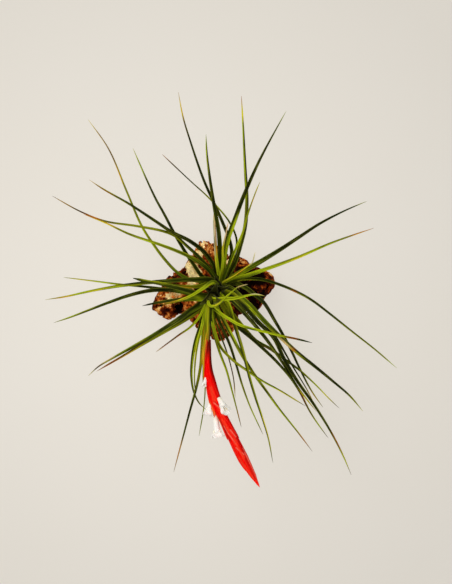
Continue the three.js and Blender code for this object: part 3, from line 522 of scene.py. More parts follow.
def unit_rod(along, sides):
    """A rod from 0 to 1 along X with a radius of 1, cut along, as a template for stems, bracts and tubes."""
    bm = bmesh.new()
    bmesh.ops.create_cone(bm, cap_ends=True, segments=sides, radius1=1, radius2=1, depth=1)
    bmesh.ops.rotate(bm, verts=bm.verts, matrix=Matrix.Rotation(math.pi / 2, 3, "Y"))
    bmesh.ops.translate(bm, verts=bm.verts, vec=(0.5, 0, 0))
    edges = [e for e in bm.edges if abs(e.verts[0].co.x - e.verts[1].co.x) > 0.9]
    bmesh.ops.subdivide_edges(bm, edges=edges, cuts=along - 1)
    return template(bm)


def template(bm):
    bmesh.ops.recalc_face_normals(bm, faces=bm.faces)
    mesh = bpy.data.meshes.new("template")
    bm.to_mesh(mesh)
    bm.free()
    return mesh


class Piece:
    """One finished piece in the making: a mesh with a tint and a grain for each point."""

    def __init__(self):
        self.bm = bmesh.new()
        self.tint = self.bm.verts.layers.float_color.new("tint")
        self.grain = self.bm.verts.layers.float_vector.new("grain")

    def add(self, mesh, shape):
        """Adds a template; shape(x, y, z) gives a point's place in millimetres, its tint and its grain."""
        start = len(self.bm.verts)
        self.bm.from_mesh(mesh)
        self.bm.verts.ensure_lookup_table()
        for vert in self.bm.verts[start:]:
            place, tint, grain = shape(*vert.co)
            vert.co = place * MM
            vert[self.tint] = (*tint, 1)
            vert[self.grain] = grain

    def finish(self, name, material, slot, *nodes):
        bmesh.ops.remove_doubles(self.bm, verts=self.bm.verts, dist=1e-7)
        bmesh.ops.recalc_face_normals(self.bm, faces=self.bm.faces)
        for face in self.bm.faces:
            face.smooth = True
        mesh = bpy.data.meshes.new(name)
        self.bm.to_mesh(mesh)
        self.bm.free()
        return place_piece(name, mesh, material, slot, *nodes)


def place_piece(name, mesh, material, slot, *nodes):
    """Makes the object for a mesh, gives it its material, ties it to the plant's body and hides the
    nodes that it stands for.
    """
    piece = bpy.data.objects.new(name, mesh)
    bpy.context.scene.collection.objects.link(piece)
    mesh.materials.clear()
    mesh.materials.append(material)
    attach(piece, "root")
    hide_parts(*nodes)
    return piece


# Materials


class Finish:
    """One material in the making, built from left to right."""

    def __init__(self, name, **sockets):
        self.material = bpy.data.materials.new(name)
        self.material.use_nodes = True
        self.tree = self.material.node_tree
        self.shader = self.tree.nodes["Principled BSDF"]
        for socket, value in sockets.items():
            self.shader.inputs[socket.replace("_", " ")].default_value = value

    def node(self, kind, **links):
        """Adds a node; a value that is a socket is linked, and any other is set."""
        node = self.tree.nodes.new(kind)
        for socket, value in links.items():
            target = node.inputs[socket.replace("_", " ")]
            if isinstance(value, bpy.types.NodeSocket):
                self.tree.links.new(value, target)
            else:
                target.default_value = value
        return node

    def place(self, turn=(0, 0, 0), scale=(1, 1, 1), move=(0, 0, 0)):
        """The object's own coordinates, turned, scaled and moved."""
        source = self.tree.nodes.new("ShaderNodeTexCoord").outputs["Object"]
        return self.node(
            "ShaderNodeMapping", Vector=source, Rotation=turn, Scale=scale, Location=move
        ).outputs["Vector"]

    def attribute(self, name, output="Color"):
        node = self.tree.nodes.new("ShaderNodeAttribute")
        node.attribute_name = name
        return node.outputs[output]

    def stretched(self, name, scale):
        source = self.attribute(name, "Vector")
        return self.node("ShaderNodeMapping", Vector=source, Scale=scale).outputs["Vector"]

    def noise(self, vector, scale, detail=4, roughness=0.6):
        return self.node(
            "ShaderNodeTexNoise", Vector=vector, Scale=scale, Detail=detail, Roughness=roughness
        ).outputs["Fac"]

    def cells(self, vector, scale):
        return self.node("ShaderNodeTexVoronoi", Vector=vector, Scale=scale).outputs["Distance"]

    def between(self, value, low, high, first=0.0, last=1.0):
        """Maps a value from low and high to first and last, held at both ends."""
        node = self.node("ShaderNodeMapRange", Value=value)
        for socket, number in zip(("From Min", "From Max", "To Min", "To Max"), (low, high, first, last)):
            node.inputs[socket].default_value = number
        return node.outputs["Result"]

    def mix(self, share, first, second, blend="MIX"):
        node = self.tree.nodes.new("ShaderNodeMix")
        node.data_type = "RGBA"
        node.blend_type = blend
        for socket, value in ((node.inputs[0], share), (node.inputs[6], first), (node.inputs[7], second)):
            if isinstance(value, bpy.types.NodeSocket):
                self.tree.links.new(value, socket)
            elif socket is node.inputs[0]:
                socket.default_value = value
            else:
                socket.default_value = (*value, 1) if len(value) == 3 else value
        return node.outputs[2]

    def sum(self, first, second, share=1.0):
        scaled = self.node("ShaderNodeMath")
        scaled.operation = "MULTIPLY_ADD"
        self.tree.links.new(second, scaled.inputs[0])
        scaled.inputs[1].default_value = share
        self.tree.links.new(first, scaled.inputs[2])
        return scaled.outputs["Value"]

    def product(self, first, second):
        node = self.node("ShaderNodeMath")
        node.operation = "MULTIPLY"
        for value, socket in zip((first, second), node.inputs):
            self.tree.links.new(value, socket)
        return node.outputs["Value"]

    def wear(self, colour, roughness, height, strength, distance):
        """Links the colour, the roughness and the bump to the shader and gives the material."""
        bump = self.node("ShaderNodeBump", Height=height, Strength=strength, Distance=distance * MM)
        for output, socket in (
            (colour, "Base Color"), (roughness, "Roughness"), (bump.outputs["Normal"], "Normal"),
        ):
            self.tree.links.new(output, self.shader.inputs[socket])
        return self.material


def leaf_finish(name, scale_amount):
    """Leaf skin: the tint with fine lines along the blade and a speckle of silver scales."""
    finish = Finish(name, Specular_IOR_Level=0.035)
    tint = finish.attribute("tint")
    lines = finish.noise(finish.stretched("grain", (0.04, 1.5, 1)), 1.0, 4, 0.7)
    patches = finish.noise(finish.stretched("grain", (0.12, 0.5, 1)), 1.0, 2)
    scales = finish.cells(finish.place(), 2600)
    speckle = finish.between(scales, 0.12, 0.42, scale_amount, 0)
    striped = finish.mix(finish.between(lines, 0.38, 0.53, 0.72, 0), tint, (0.008, 0.014, 0.0))
    lit = finish.mix(finish.between(lines, 0.55, 0.7, 0, 0.42), striped, (0.5, 0.56, 0.04))
    varied = finish.mix(finish.between(patches, 0.5, 0.8, 0, 0.2), lit, (0.24, 0.26, 0.01))
    dusted = finish.mix(speckle, varied, (0.42, 0.46, 0.3))
    relief = finish.sum(lines, speckle, 0.6)
    return finish.wear(dusted, finish.between(patches, 0.3, 0.7, 0.42, 0.6), relief, 0.35, 0.12)


def bark_finish(name):
    """Bark: the tint broken up by crumbs, pores and dust."""
    finish = Finish(name, Specular_IOR_Level=0.025)
    tint = finish.attribute("tint")
    crumbs = finish.cells(finish.place(), 900)
    pores = finish.noise(finish.place(turn=(0.4, 0.2, 0.9)), 1700, 5, 0.7)
    stain = finish.noise(finish.place(turn=(0.1, 0.7, 0.3)), 320, 4, 0.65)
    porous = finish.attribute("tint", "Alpha")
    marks = finish.product(finish.between(stain, 0.5, 0.72, 0, 0.55), porous)
    worn = finish.mix(marks, tint, (0.55, 0.3, 0.2), "MULTIPLY")
    marks = finish.product(finish.between(pores, 0.34, 0.54, 0.88, 0), porous)
    dark = finish.mix(marks, worn, (0.2, 0.1, 0.06), "MULTIPLY")
    specks = finish.noise(finish.place(turn=(0.7, 0.9, 0.2)), 1250, 3, 0.6)
    dusty = finish.mix(finish.between(specks, 0.54, 0.66, 0, 0.75), dark, (2.1, 1.9, 1.6), "MULTIPLY")
    relief = finish.sum(pores, crumbs, -0.7)
    return finish.wear(dusty, finish.between(stain, 0.3, 0.7, 0.75, 0.98), relief, 0.8, 0.5)


def bract_finish(name):
    """Bract skin: waxy red with fine veins along it."""
    finish = Finish(
        name, Specular_IOR_Level=0.03, Subsurface_Weight=0.08, Subsurface_Radius=(0.9, 0.2, 0.1),
        Subsurface_Scale=0.0012,
    )
    tint = finish.attribute("tint")
    veins = finish.noise(finish.stretched("grain", (0.07, 1.3, 1)), 1.0, 4, 0.65)
    bloom = finish.noise(finish.place(), 420, 3)
    light = finish.mix(finish.between(veins, 0.55, 0.7, 0, 0.4), tint, (1.0, 0.06, 0.025))
    deep = finish.mix(finish.between(veins, 0.3, 0.45, 0.4, 0), light, (0.45, 0.0, 0.0))
    return finish.wear(deep, finish.between(bloom, 0.3, 0.7, 0.34, 0.52), veins, 0.3, 0.15)


def petal_finish(name):
    """Petal skin: thin white with faint veins."""
    finish = Finish(
        name, Specular_IOR_Level=0.3, Subsurface_Weight=0.1, Subsurface_Radius=(1, 0.9, 0.8),
        Subsurface_Scale=0.0004,
    )
    tint = finish.attribute("tint")
    veins = finish.noise(finish.stretched("grain", (0.2, 3.4, 1)), 1.0, 3)
    cloud = finish.noise(finish.place(), 500, 3)
    veined = finish.mix(finish.between(veins, 0.5, 0.75, 0, 0.06), tint, (0.82, 0.78, 0.66))
    return finish.wear(veined, finish.between(cloud, 0.3, 0.7, 0.45, 0.65), veins, 0.3, 0.12)


def floor_finish(name, settings):
    """Matt floor with the faintest unevenness and a painted glow of its own, brighter in a pool near the plant,
    that keeps the shadows faint.
    """
    finish = Finish(name, Specular_IOR_Level=0.15)
    cloud = finish.noise(finish.place(), 5, 3)
    tooth = finish.noise(finish.place(), 900, 3)
    warm = tuple(value * share for value, share in zip(settings.floor_colour, (0.985, 0.975, 0.955)))
    mixed_floor = finish.mix(finish.between(cloud, 0.35, 0.65), tuple(settings.floor_colour), warm)
    # Painted pool of light: the floor glows more near the plant, lightening the shadow round it.
    painted_light_pool = finish.node("ShaderNodeTexGradient", Vector=finish.place(scale=(4, 4, 4), move=(0.2, 0, 0)))
    painted_light_pool.gradient_type = "SPHERICAL"
    glow = finish.between(painted_light_pool.outputs["Fac"], 0, 1, settings.floor_glow * 0.93, settings.floor_glow * 1.2)
    finish.shader.inputs["Emission Color"].default_value = (*settings.floor_light, 1)
    finish.tree.links.new(glow, finish.shader.inputs["Emission Strength"])
    return finish.wear(mixed_floor, finish.between(tooth, 0.3, 0.7, 0.7, 0.85), tooth, 0.06, 0.1)


# Pieces


def mixed(first, second, share):
    return tuple(lerp(a, b, share) for a, b in zip(first, second))


def shade_along(settings, letters, share):
    """The leaf shade at a share of a row of letters."""
    spot = min(max(share, 0), 0.9999) * (len(letters) - 1)
    index = int(spot)
    first, second = (getattr(settings, SHADES[letter][0]) for letter in letters[index:index + 2])
    return mixed(first, second, step(0.1, 0.9, spot - index))


class AIRPLANT_OT_leaves(bpy.types.Operator):
    """Builds the channelled leaves, each with its own arch, shades and drawn-out tip"""

    bl_idname = "air_plant.leaves"
    bl_label = "Leaves"

    def execute(self, context):
        settings = context.scene.air_plant.leaf
        piece = Piece()
        blade = unit_slab(*BLADE_CUTS)
        for index, leaf in enumerate(LEAVES):
            piece.add(blade, self.blade_shape(settings, leaf, index))
        piece.finish("leaf_blades", leaf_finish("leaf_skin", settings.scale_amount), "leaf", "leafy_stem")
        return {"FINISHED"}

    def blade_shape(self, settings, leaf, index):
        place, length = leaf_line(leaf)
        taper = 1 - leaf.bluntness
        twist = settings.twist * math.sin(index * 2.1 + 0.7)
        rings = {}

        def ring(share):
            if share not in rings:
                point, side, face = frame_at(place, share)
                turn = Matrix.Rotation(twist * math.sin(share * 4), 3, side.cross(face))
                flare = 1 + BLADE_FLARE * math.exp(-share * length / BLADE_FLARE_REACH)
                width = leaf.width * flare * (1 - taper * share ** 1.25)
                width = max(width, BLADE_LEAST_WIDTH) * min(1, (1 - share) / 0.09 + 0.08) ** 0.7
                left, right = (shade_along(settings, letters, share) for letters in (leaf.left, leaf.right))
                if leaf.fleck:
                    station, letter = leaf.fleck
                    amount = 1 - step(0.006, FLECK_REACH, abs(share - station))
                    spot = getattr(settings, SHADES[letter][0])
                    left, right = mixed(left, spot, amount * 0.3), mixed(right, spot, amount)
                rings[share] = point, turn @ side, turn @ face, width / 2, left, right
            return rings[share]

        def shape(x, y, z):
            point, side, face, half, left, right = ring(round(x, 4))
            deep = settings.thickness / MM / 2 * lerp(1, 0.4, x) * min(1, (1 - x) / 0.06 + 0.15)
            channel = settings.channel * lerp(1.5, 1, step(0, 0.12, x)) * lerp(1, 1.3, step(0.5, 1, x))
            rise = channel * half * (abs(y) ** 1.6 - 0.25)
            over = rise + z * deep * (1 - 0.86 * y * y)
            # Painted light and shade: the lit side and the shaded side of the blade, over its own colours.
            tint = mixed(right, left, step(-0.35, 0.35, y))
            # Painted shade: darker along the middle of the blade, in the groove of its channel.
            tint = tuple(value * (1 - 0.35 * math.exp(-(y / 0.16) ** 2)) for value in tint)
            tint = mixed(tint, settings.margin, 0.2 * step(0.6, 1, abs(y)))
            if z < 0:
                tint = mixed(tint, (0.1, 0.13, 0.04), 0.35)
            return point + side * (half * y) + face * over, tint, (x * length, y * half, index * 7.3)

        return shape


class AIRPLANT_OT_stem(bpy.types.Operator):
    """Builds the leaning stem with its clasping leaf bases, dry scales, roots and green scape"""

    bl_idname = "air_plant.stem"
    bl_label = "Stem and scape"

    def execute(self, context):
        settings = context.scene.air_plant.leaf
        piece = Piece()
        self.add_core(piece, settings)
        self.add_scape(piece, settings)
        base = unit_slab(16, 8)
        for index in range(SHEATH_COUNT):
            station = lerp(*SHEATH_STATIONS, index / (SHEATH_COUNT - 1))
            # Lower sheaths near black: partly dead bases' own colour, partly painted shade in the heart.
            shade = mixed(settings.dry_scale, settings.sheath, step(0.7, 0.95, station))
            self.add_sheath(piece, base, station, index * GOLDEN_ANGLE, 1, shade)
        for index in range(SCALE_LEAF_COUNT):
            station = lerp(*SCALE_LEAF_STATIONS, index / (SCALE_LEAF_COUNT - 1))
            self.add_sheath(piece, base, station, index * GOLDEN_ANGLE + 1, 0.62, settings.dry_scale)
        self.add_roots(piece, settings)
        piece.finish("stem_and_bases", leaf_finish("stem_skin", settings.scale_amount), "leaf", "leafy_stem")
        return {"FINISHED"}

    def add_core(self, piece, settings):
        def shape(x, y, z):
            centre = STEM.at(x)
            radius = STEM_RADIUS * (1 - STEM_TAPER * x ** 3)
            # The template's Z becomes the stem's -X, so that the rod stands up along the stem's line
            place = centre + Vector((-z, y, 0)) * radius
            shade = mixed(settings.dry_scale, settings.sheath, step(0.8, 1, x) * 0.6)
            return place, shade, (x * STEM.length, math.atan2(y, z) * radius, 0)

        piece.add(unit_rod(24, 20), shape)

    def add_scape(self, piece, settings):
        start, collar = STEM.at(0.96), SPIKE.at(0)
        middle = start.lerp(collar, 0.5) + UP * SCAPE_RISE
        line = Route((start, middle, collar, SPIKE.at(SCAPE_PEG_STATION)))

        def shape(x, y, z):
            point, side, face = frame_at(line.at, x)
            radius = lerp(*SCAPE_RADII, x)
            ripe = step(0.45, 0.85, x)
            # Painted light on the left side, painted shade on the right; towards the spike amber and dark brown.
            light = mixed(settings.scape_lit_side, settings.amber, ripe * step(-0.9, 0.1, y))
            shade = mixed(light, mixed(settings.scape_shaded_side, settings.dark_brown, ripe), step(-0.4, 0.3, y))
            return point + (side * y + face * z) * radius, shade, (x * line.length, y * radius, 3)

        piece.add(unit_rod(30, 16), shape)

    def add_sheath(self, piece, base, station, turn, size, shade):
        root = STEM.at(station)
        outward = Vector((math.cos(turn), math.sin(turn), 0))

        def line(share):
            reach = lerp(STEM_RADIUS * 0.75, SHEATH_ROOT, size) + SHEATH_REACH * size ** 2 * share ** 1.6
            return root + outward * reach + UP * (SHEATH_LENGTH * size * (share - 0.15))

        def shape(x, y, z):
            point, side, face = frame_at(line, x, near=0.02)
            half = SHEATH_WIDTH * lerp(0.5, 1, size) / 2 * (1 - 0.9 * x ** 1.5)
            wrap = half * 0.62 * abs(y) ** 1.8
            over = wrap + z * lerp(0.5, 0.2, x) * (1 - 0.8 * y * y)
            tint = mixed(shade, (0.35, 0.36, 0.18), 0.25 * abs(y) ** 3)
            return point + side * (half * y) + face * over, tint, (x * 15, y * half, turn)

        piece.add(base, shape)

    def add_roots(self, piece, settings):
        """Thin wiry roots from the foot of the stem over the bark."""
        ground = bark_ground()
        rod = unit_rod(26, 7)
        draw = random.Random(ROOT_SEED)
        for index in range(ROOT_COUNT):
            turn = index / ROOT_COUNT * math.tau + draw.uniform(-0.3, 0.3)
            reach = draw.uniform(7, 13)
            wave = draw.uniform(-1, 1)

            def line(share):
                bend = turn + wave * 0.5 * math.sin(share * 4)
                flat = STEM_FOOT + Vector((math.cos(bend), math.sin(bend), 0)) * lerp(2.4, reach, share)
                height = ground(flat.x, flat.y)
                fall = lerp(26, height + 0.2, step(0, 0.35, share))
                return Vector((flat.x, flat.y, max(fall, height - 0.2)))

            def shape(x, y, z):
                point, side, face = frame_at(line, x, near=0.03)
                radius = lerp(0.55, 0.25, x)
                shade = mixed(settings.dry_scale, settings.tan, 0.25)
                return point + (side * y + face * z) * radius, shade, (x * reach, y, index)

            piece.add(rod, shape)


def bark_copy():
    """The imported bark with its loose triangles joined."""
    bm = bmesh.new()
    bm.from_mesh(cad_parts["cork_bark"].data)
    bmesh.ops.remove_doubles(bm, verts=bm.verts, dist=1e-6)
    return bm


def bark_ground():
    """Height of the bark's top in millimetres at a plan place."""
    bm = bark_copy()
    tree = BVHTree.FromBMesh(bm)
    bm.free()

    def height(x, y):
        place = tree.ray_cast(Vector((x * MM, y * MM, 0.1)), -UP)[0]
        return place.z / MM if place else 0

    return height


class AIRPLANT_OT_bark(bpy.types.Operator):
    """Builds the crumbly chunk of cork bark with its cavities, pale patches and loose crumbs"""

    bl_idname = "air_plant.bark"
    bl_label = "Cork bark"

    def execute(self, context):
        settings = context.scene.air_plant.bark
        finish = bark_finish("cork_bark_crumbly")
        chunk = self.fine_mesh(settings)
        bm = bmesh.new()
        bm.from_mesh(chunk)
        bpy.data.meshes.remove(chunk)
        bm.normal_update()
        tint = bm.verts.layers.float_color.new("tint")
        relief = settings.relief
        for vert in bm.verts:
            place = vert.co / MM
            upright = 1 - step(0.35, 0.85, abs(vert.normal.z))
            push = self.push(place, upright)
            held = step(0.3, 3, place.z)
            vert[tint] = self.shade(settings, place, push)
            vert.co += vert.normal * (push * held * relief)
        for face in bm.faces:
            face.smooth = True
        crumbs = self.crumbs(settings, list(bm.verts), tint)
        mesh = bpy.data.meshes.new("cork_chunk")
        bm.to_mesh(mesh)
        bm.free()
        place_piece("cork_chunk", mesh, finish, "cork", "cork_bark")
        place_piece("cork_crumbs", crumbs, finish, "cork", "cork_bark")
        return {"FINISHED"}

    def fine_mesh(self, settings):
        """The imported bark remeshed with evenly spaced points."""
        bm = bark_copy()
        mesh = bpy.data.meshes.new("bark_form")
        bm.to_mesh(mesh)
        bm.free()
        form = bpy.data.objects.new("bark_form", mesh)
        bpy.context.scene.collection.objects.link(form)
        remesh = form.modifiers.new("Remesh", "REMESH")
        remesh.mode = "VOXEL"
        remesh.voxel_size = settings.grain
        graph = bpy.context.evaluated_depsgraph_get()
        fine = bpy.data.meshes.new_from_object(form.evaluated_get(graph))
        bpy.data.objects.remove(form)
        bpy.data.meshes.remove(mesh)
        return fine

    def push(self, place, upright):
        """Rise or, below 0, hollow of the bark as a share of the relief, layered where it is upright."""
        warp = noise.noise_vector(place * 0.12) * 2.2
        ridges = 1 - abs(noise.noise((place + warp) * 0.19)) * 2.6
        lumps = noise.noise(place * 0.4 + Vector((7, 3, 1)))
        crumb = 0.5 - noise.voronoi((place + warp * 0.4) * 0.52)[0][0]
        fine = noise.noise(place * 1.7)
        hollow = step(0.22, 0.5, noise.noise(place * 0.16 + Vector((3, 9, 4))))
        crumbly = ridges * 0.45 + lumps * 0.5 + crumb * 0.75 - hollow * 1.2 - 0.25
        bent = place + warp * 0.8
        layers = noise.noise(Vector((bent.x * 0.07, bent.y * 0.07, bent.z * 0.5)))
        cleft = noise.noise(Vector((bent.x * 0.13, bent.y * 0.13, bent.z * 0.04 + 5)))
        crack = 1 - step(0.02, 0.1, abs(cleft))
        layered = layers * 2.2 + lumps * 0.35 + crumb * 0.35 - crack * 1.5 - 0.1
        return lerp(crumbly, layered, upright) + fine * 0.22

    def shade(self, settings, place, push):
        """Shade of the bark at a place, from black in hollows to cream, and how strongly pores mark it; the
        black in hollows is partly painted shade.
        """
        level = noise.noise(place * 0.17 + Vector((2, 6, 9))) * 0.5 + noise.noise(place * 0.45) * 0.6 - 0.08
        level += noise.noise(place + Vector((1, 5, 2))) * 0.5
        ragged = noise.noise(place * 0.6 + Vector((4, 1, 8))) * 0.3
        # Painted shadow: darker patches under the leaves.
        for x, y, radius, lift in BARK_PATCHES:
            away = math.hypot(place.x - x, place.y - y) / radius + ragged
            level += lift * (1 - step(0.6, 1.05, away)) * step(9, 16, place.z)
        # Hollows darker, partly painted shade; ridges a little lighter, partly painted highlight.
        level -= 0.9 * (1 - step(-1.15, -0.3, push)) - 0.12 * step(0.2, 0.9, push)
        for index, (low, first) in enumerate(BARK_LEVELS[:-1]):
            high, second = BARK_LEVELS[index + 1]
            if level < high or index == len(BARK_LEVELS) - 2:
                shade = mixed(getattr(settings, first), getattr(settings, second), step(low, high, level))
                return (*shade, 1 - 0.85 * step(0.45, 0.8, level))

    def crumb_seats(self, draw, points):
        """The fine bark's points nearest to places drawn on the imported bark, which doesn't vary between runs."""
        tree = KDTree(len(points))
        for index, vert in enumerate(points):
            tree.insert(vert.co, index)
        tree.balance()
        bm = bark_copy()
        faces = [face for face in bm.faces if face.calc_center_median().z > CRUMB_LOWEST * MM]
        seats = []
        for face in draw.choices(faces, [face.calc_area() for face in faces], k=CRUMB_COUNT):
            shares = [draw.random() for _ in face.verts]
            place = sum((vert.co * share for vert, share in zip(face.verts, shares)), Vector())
            seats.append(points[tree.find(place / sum(shares))[1]])
        bm.free()
        return seats

    def crumbs(self, settings, points, tint):
        """Small angular crumbs that sit half sunk on the top and sides of the chunk."""
        draw = random.Random(CRUMB_SEED)
        crumbs = bmesh.new()
        shade = crumbs.verts.layers.float_color.new("tint")
        for seat in self.crumb_seats(draw, points):
            size = settings.crumb * draw.uniform(0.3, 1) ** 1.6
            angle = draw.uniform(0, math.tau)
            turn = Matrix.Rotation(angle, 4, Vector([draw.uniform(-1, 1) for _ in range(3)]))
            stretch = Matrix.Diagonal((1, draw.uniform(0.6, 1), draw.uniform(0.45, 0.9), 1))
            at = Matrix.Translation(seat.co - seat.normal * size * 0.2)
            start = len(crumbs.verts)
            bmesh.ops.create_icosphere(crumbs, subdivisions=1, radius=size, matrix=at @ turn @ stretch)
            crumbs.verts.ensure_lookup_table()
            bright = draw.uniform(0.6, 1.5)
            for vert in crumbs.verts[start:]:
                vert[shade] = (*(value * bright for value in seat[tint][:3]), seat[tint][3])
        mesh = bpy.data.meshes.new("cork_crumbs")
        crumbs.to_mesh(mesh)
        crumbs.free()
        return mesh


class AIRPLANT_OT_spike(bpy.types.Operator):
    """Builds the red spike of overlapping keeled bracts"""

    bl_idname = "air_plant.spike"
    bl_label = "Red spike"

    def execute(self, context):
        settings = context.scene.air_plant.flower
        piece = Piece()
        shell = unit_rod(72, 48)
        for index, bract in enumerate(BRACTS):
            piece.add(shell, self.bract_shape(settings, bract, index))
        piece.add(unit_rod(30, 12), self.core_shape(settings))
        piece.finish("spike_bracts", bract_finish("bract_skin"), "bract", "flower_spike")
        return {"FINISHED"}

    def bract_shape(self, settings, bract, index):
        side = bract["side"]
        rings = {}

        def ring(x):
            if x not in rings:
                station = lerp(bract["base"], bract["point"], x)
                edge = reading(SPIKE_HALF_WIDTHS, station)
                keel = lerp(0.68 if bract["base"] else 0.98, 1, math.sqrt(x))
                keel = (keel + bract.get("tooth", BRACT_TOOTH) * x ** 4) * edge
                wrap = bract.get("wrap")
                margin = -wrap * edge if wrap else lerp(-0.6 * edge, keel - 0.5, x ** 2.5)
                start = lerp(0.4 if bract["base"] else 0.9, 1, step(0, 0.16, x))
                half_width = (keel - margin) / 2 * min(1, (1 - x) / 0.07 + 0.1) ** 0.6 * start
                half_depth = max(BRACT_FLATNESS * edge * (1 - 0.75 * x ** 3), 0.3) * (1 + 0.03 * index)
                rings[x] = (
                    frame_at(SPIKE.at, station), station, edge, side * (keel + margin) / 2,
                    half_width, half_depth * min(1, (1 - x) / 0.07 + 0.2) * start,
                )
            return rings[x]

        def shape(x, y, z):
            (point, across, face), station, edge, middle, half_width, half_depth = ring(round(x, 4))
            angle = math.atan2(z, y * side)
            keeled = 1 - 0.45 * step(0.2, 1, math.cos(angle))
            lip = 1 + 0.1 * step(0.75, 1, -math.cos(angle))
            place = point + across * (middle + half_width * y) + face * (half_depth * z * keeled * lip)
            tint = self.tint(settings, bract, x, station, (middle + half_width * y) / edge, edge, angle)
            return place, tint, (x * 30, angle * 1.6, index * 5.1)

        return shape

    def tint(self, settings, bract, x, station, across, edge, angle):
        """Painted highlight of light red on the left and middle, painted crimson shade on the right,
        with dry points.
        """
        light, dark = settings.bract_light, settings.bract_dark
        # Painted highlight on the left of the spike, painted shade on its right.
        sheen = 0.35 * (1 - step(-0.9, -0.3, across)) * step(0.4, 0.6, station)
        tint = mixed(settings.bract_red, light, sheen)
        tint = mixed(tint, dark, 0.85 * step(0.5, 1.0, across) * (1 - 0.6 * step(0.6, 0.9, station)))
        fold = math.cos(angle)
        grown = step(0.2, 0.4, station)
        # Painted highlight on each bract's face, painted shade by its overlapped edge, and its pale dry rim.
        tint = mixed(tint, light, 0.5 * grown * math.exp(-((fold + 0.15) / 0.2) ** 2))
        tint = mixed(tint, dark, 0.7 * grown * math.exp(-((fold + 0.55) / 0.1) ** 2))
        tint = mixed(tint, settings.bract_rim, 0.85 * grown * math.exp(-((fold + 0.78) / 0.09) ** 2))
        tint = self.foot_tint(settings, self.veined(settings, tint, station, across, edge), station, across)
        return mixed(tint, getattr(settings, bract["end"]), 0.9 * step(0.9, 0.985, x))

    def veined(self, settings, tint, station, across, edge):
        """The tint with the veins that pass near the place."""
        here = Vector((station * SPIKE.length, across * edge))
        for start, start_across, stop, stop_across, half, name in VEINS:
            if start - 0.03 < station < stop + 0.03:
                a = Vector((start * SPIKE.length, start_across * edge))
                b = Vector((stop * SPIKE.length, stop_across * edge))
                share = intersect_point_line(here, a, b)[1]
                away = (here - a.lerp(b, min(max(share, 0), 1))).length
                tint = mixed(tint, getattr(settings, name), 0.85 * math.exp(-(away / half) ** 2))
        return tint

    def foot_tint(self, settings, tint, station, across):
        """The tint with the orange left side and brown right side of the spike's foot and its frayed edge.
        The brown is partly dry bract and partly painted shade.
        """
        past_foot = step(0.04, 0.16, station)
        left = 1 - step(lerp(-0.7, -1.1, past_foot), lerp(-0.25, -0.7, past_foot), across)
        left *= 1 - step(0.24, 0.36, station)
        young = 1 - past_foot
        tint = mixed(tint, settings.bract_orange, max(left, 0.85 * young * (1 - step(-0.6, -0.1, across))))
        # The brown right side of the foot: partly dry bract, partly painted shade.
        right = (1 - step(0.16, 0.36, station)) * step(0.2, 0.75, across)
        tint = mixed(tint, settings.bract_brown, max(0.95 * right, young * step(-0.5, 0.05, across)))
        frayed = step(0.36, 0.42, station) * (1 - step(0.54, 0.58, station)) * (1 - step(-0.95, -0.7, across))
        return mixed(tint, settings.bract_orange, 0.8 * frayed)

    def core_shape(self, settings):
        def shape(x, y, z):
            station = lerp(0.01, 0.92, x)
            point, across, face = frame_at(SPIKE.at, station)
            radius = 1.3 * (1 - 0.6 * station) * lerp(0.5, 1, step(0, 0.12, x))
            shade = mixed(settings.bract_yellow, settings.bract_red, step(0.02, 0.1, station))
            return point + (across * y + face * z) * radius, shade, (x * 90, y, 0)

        return shape


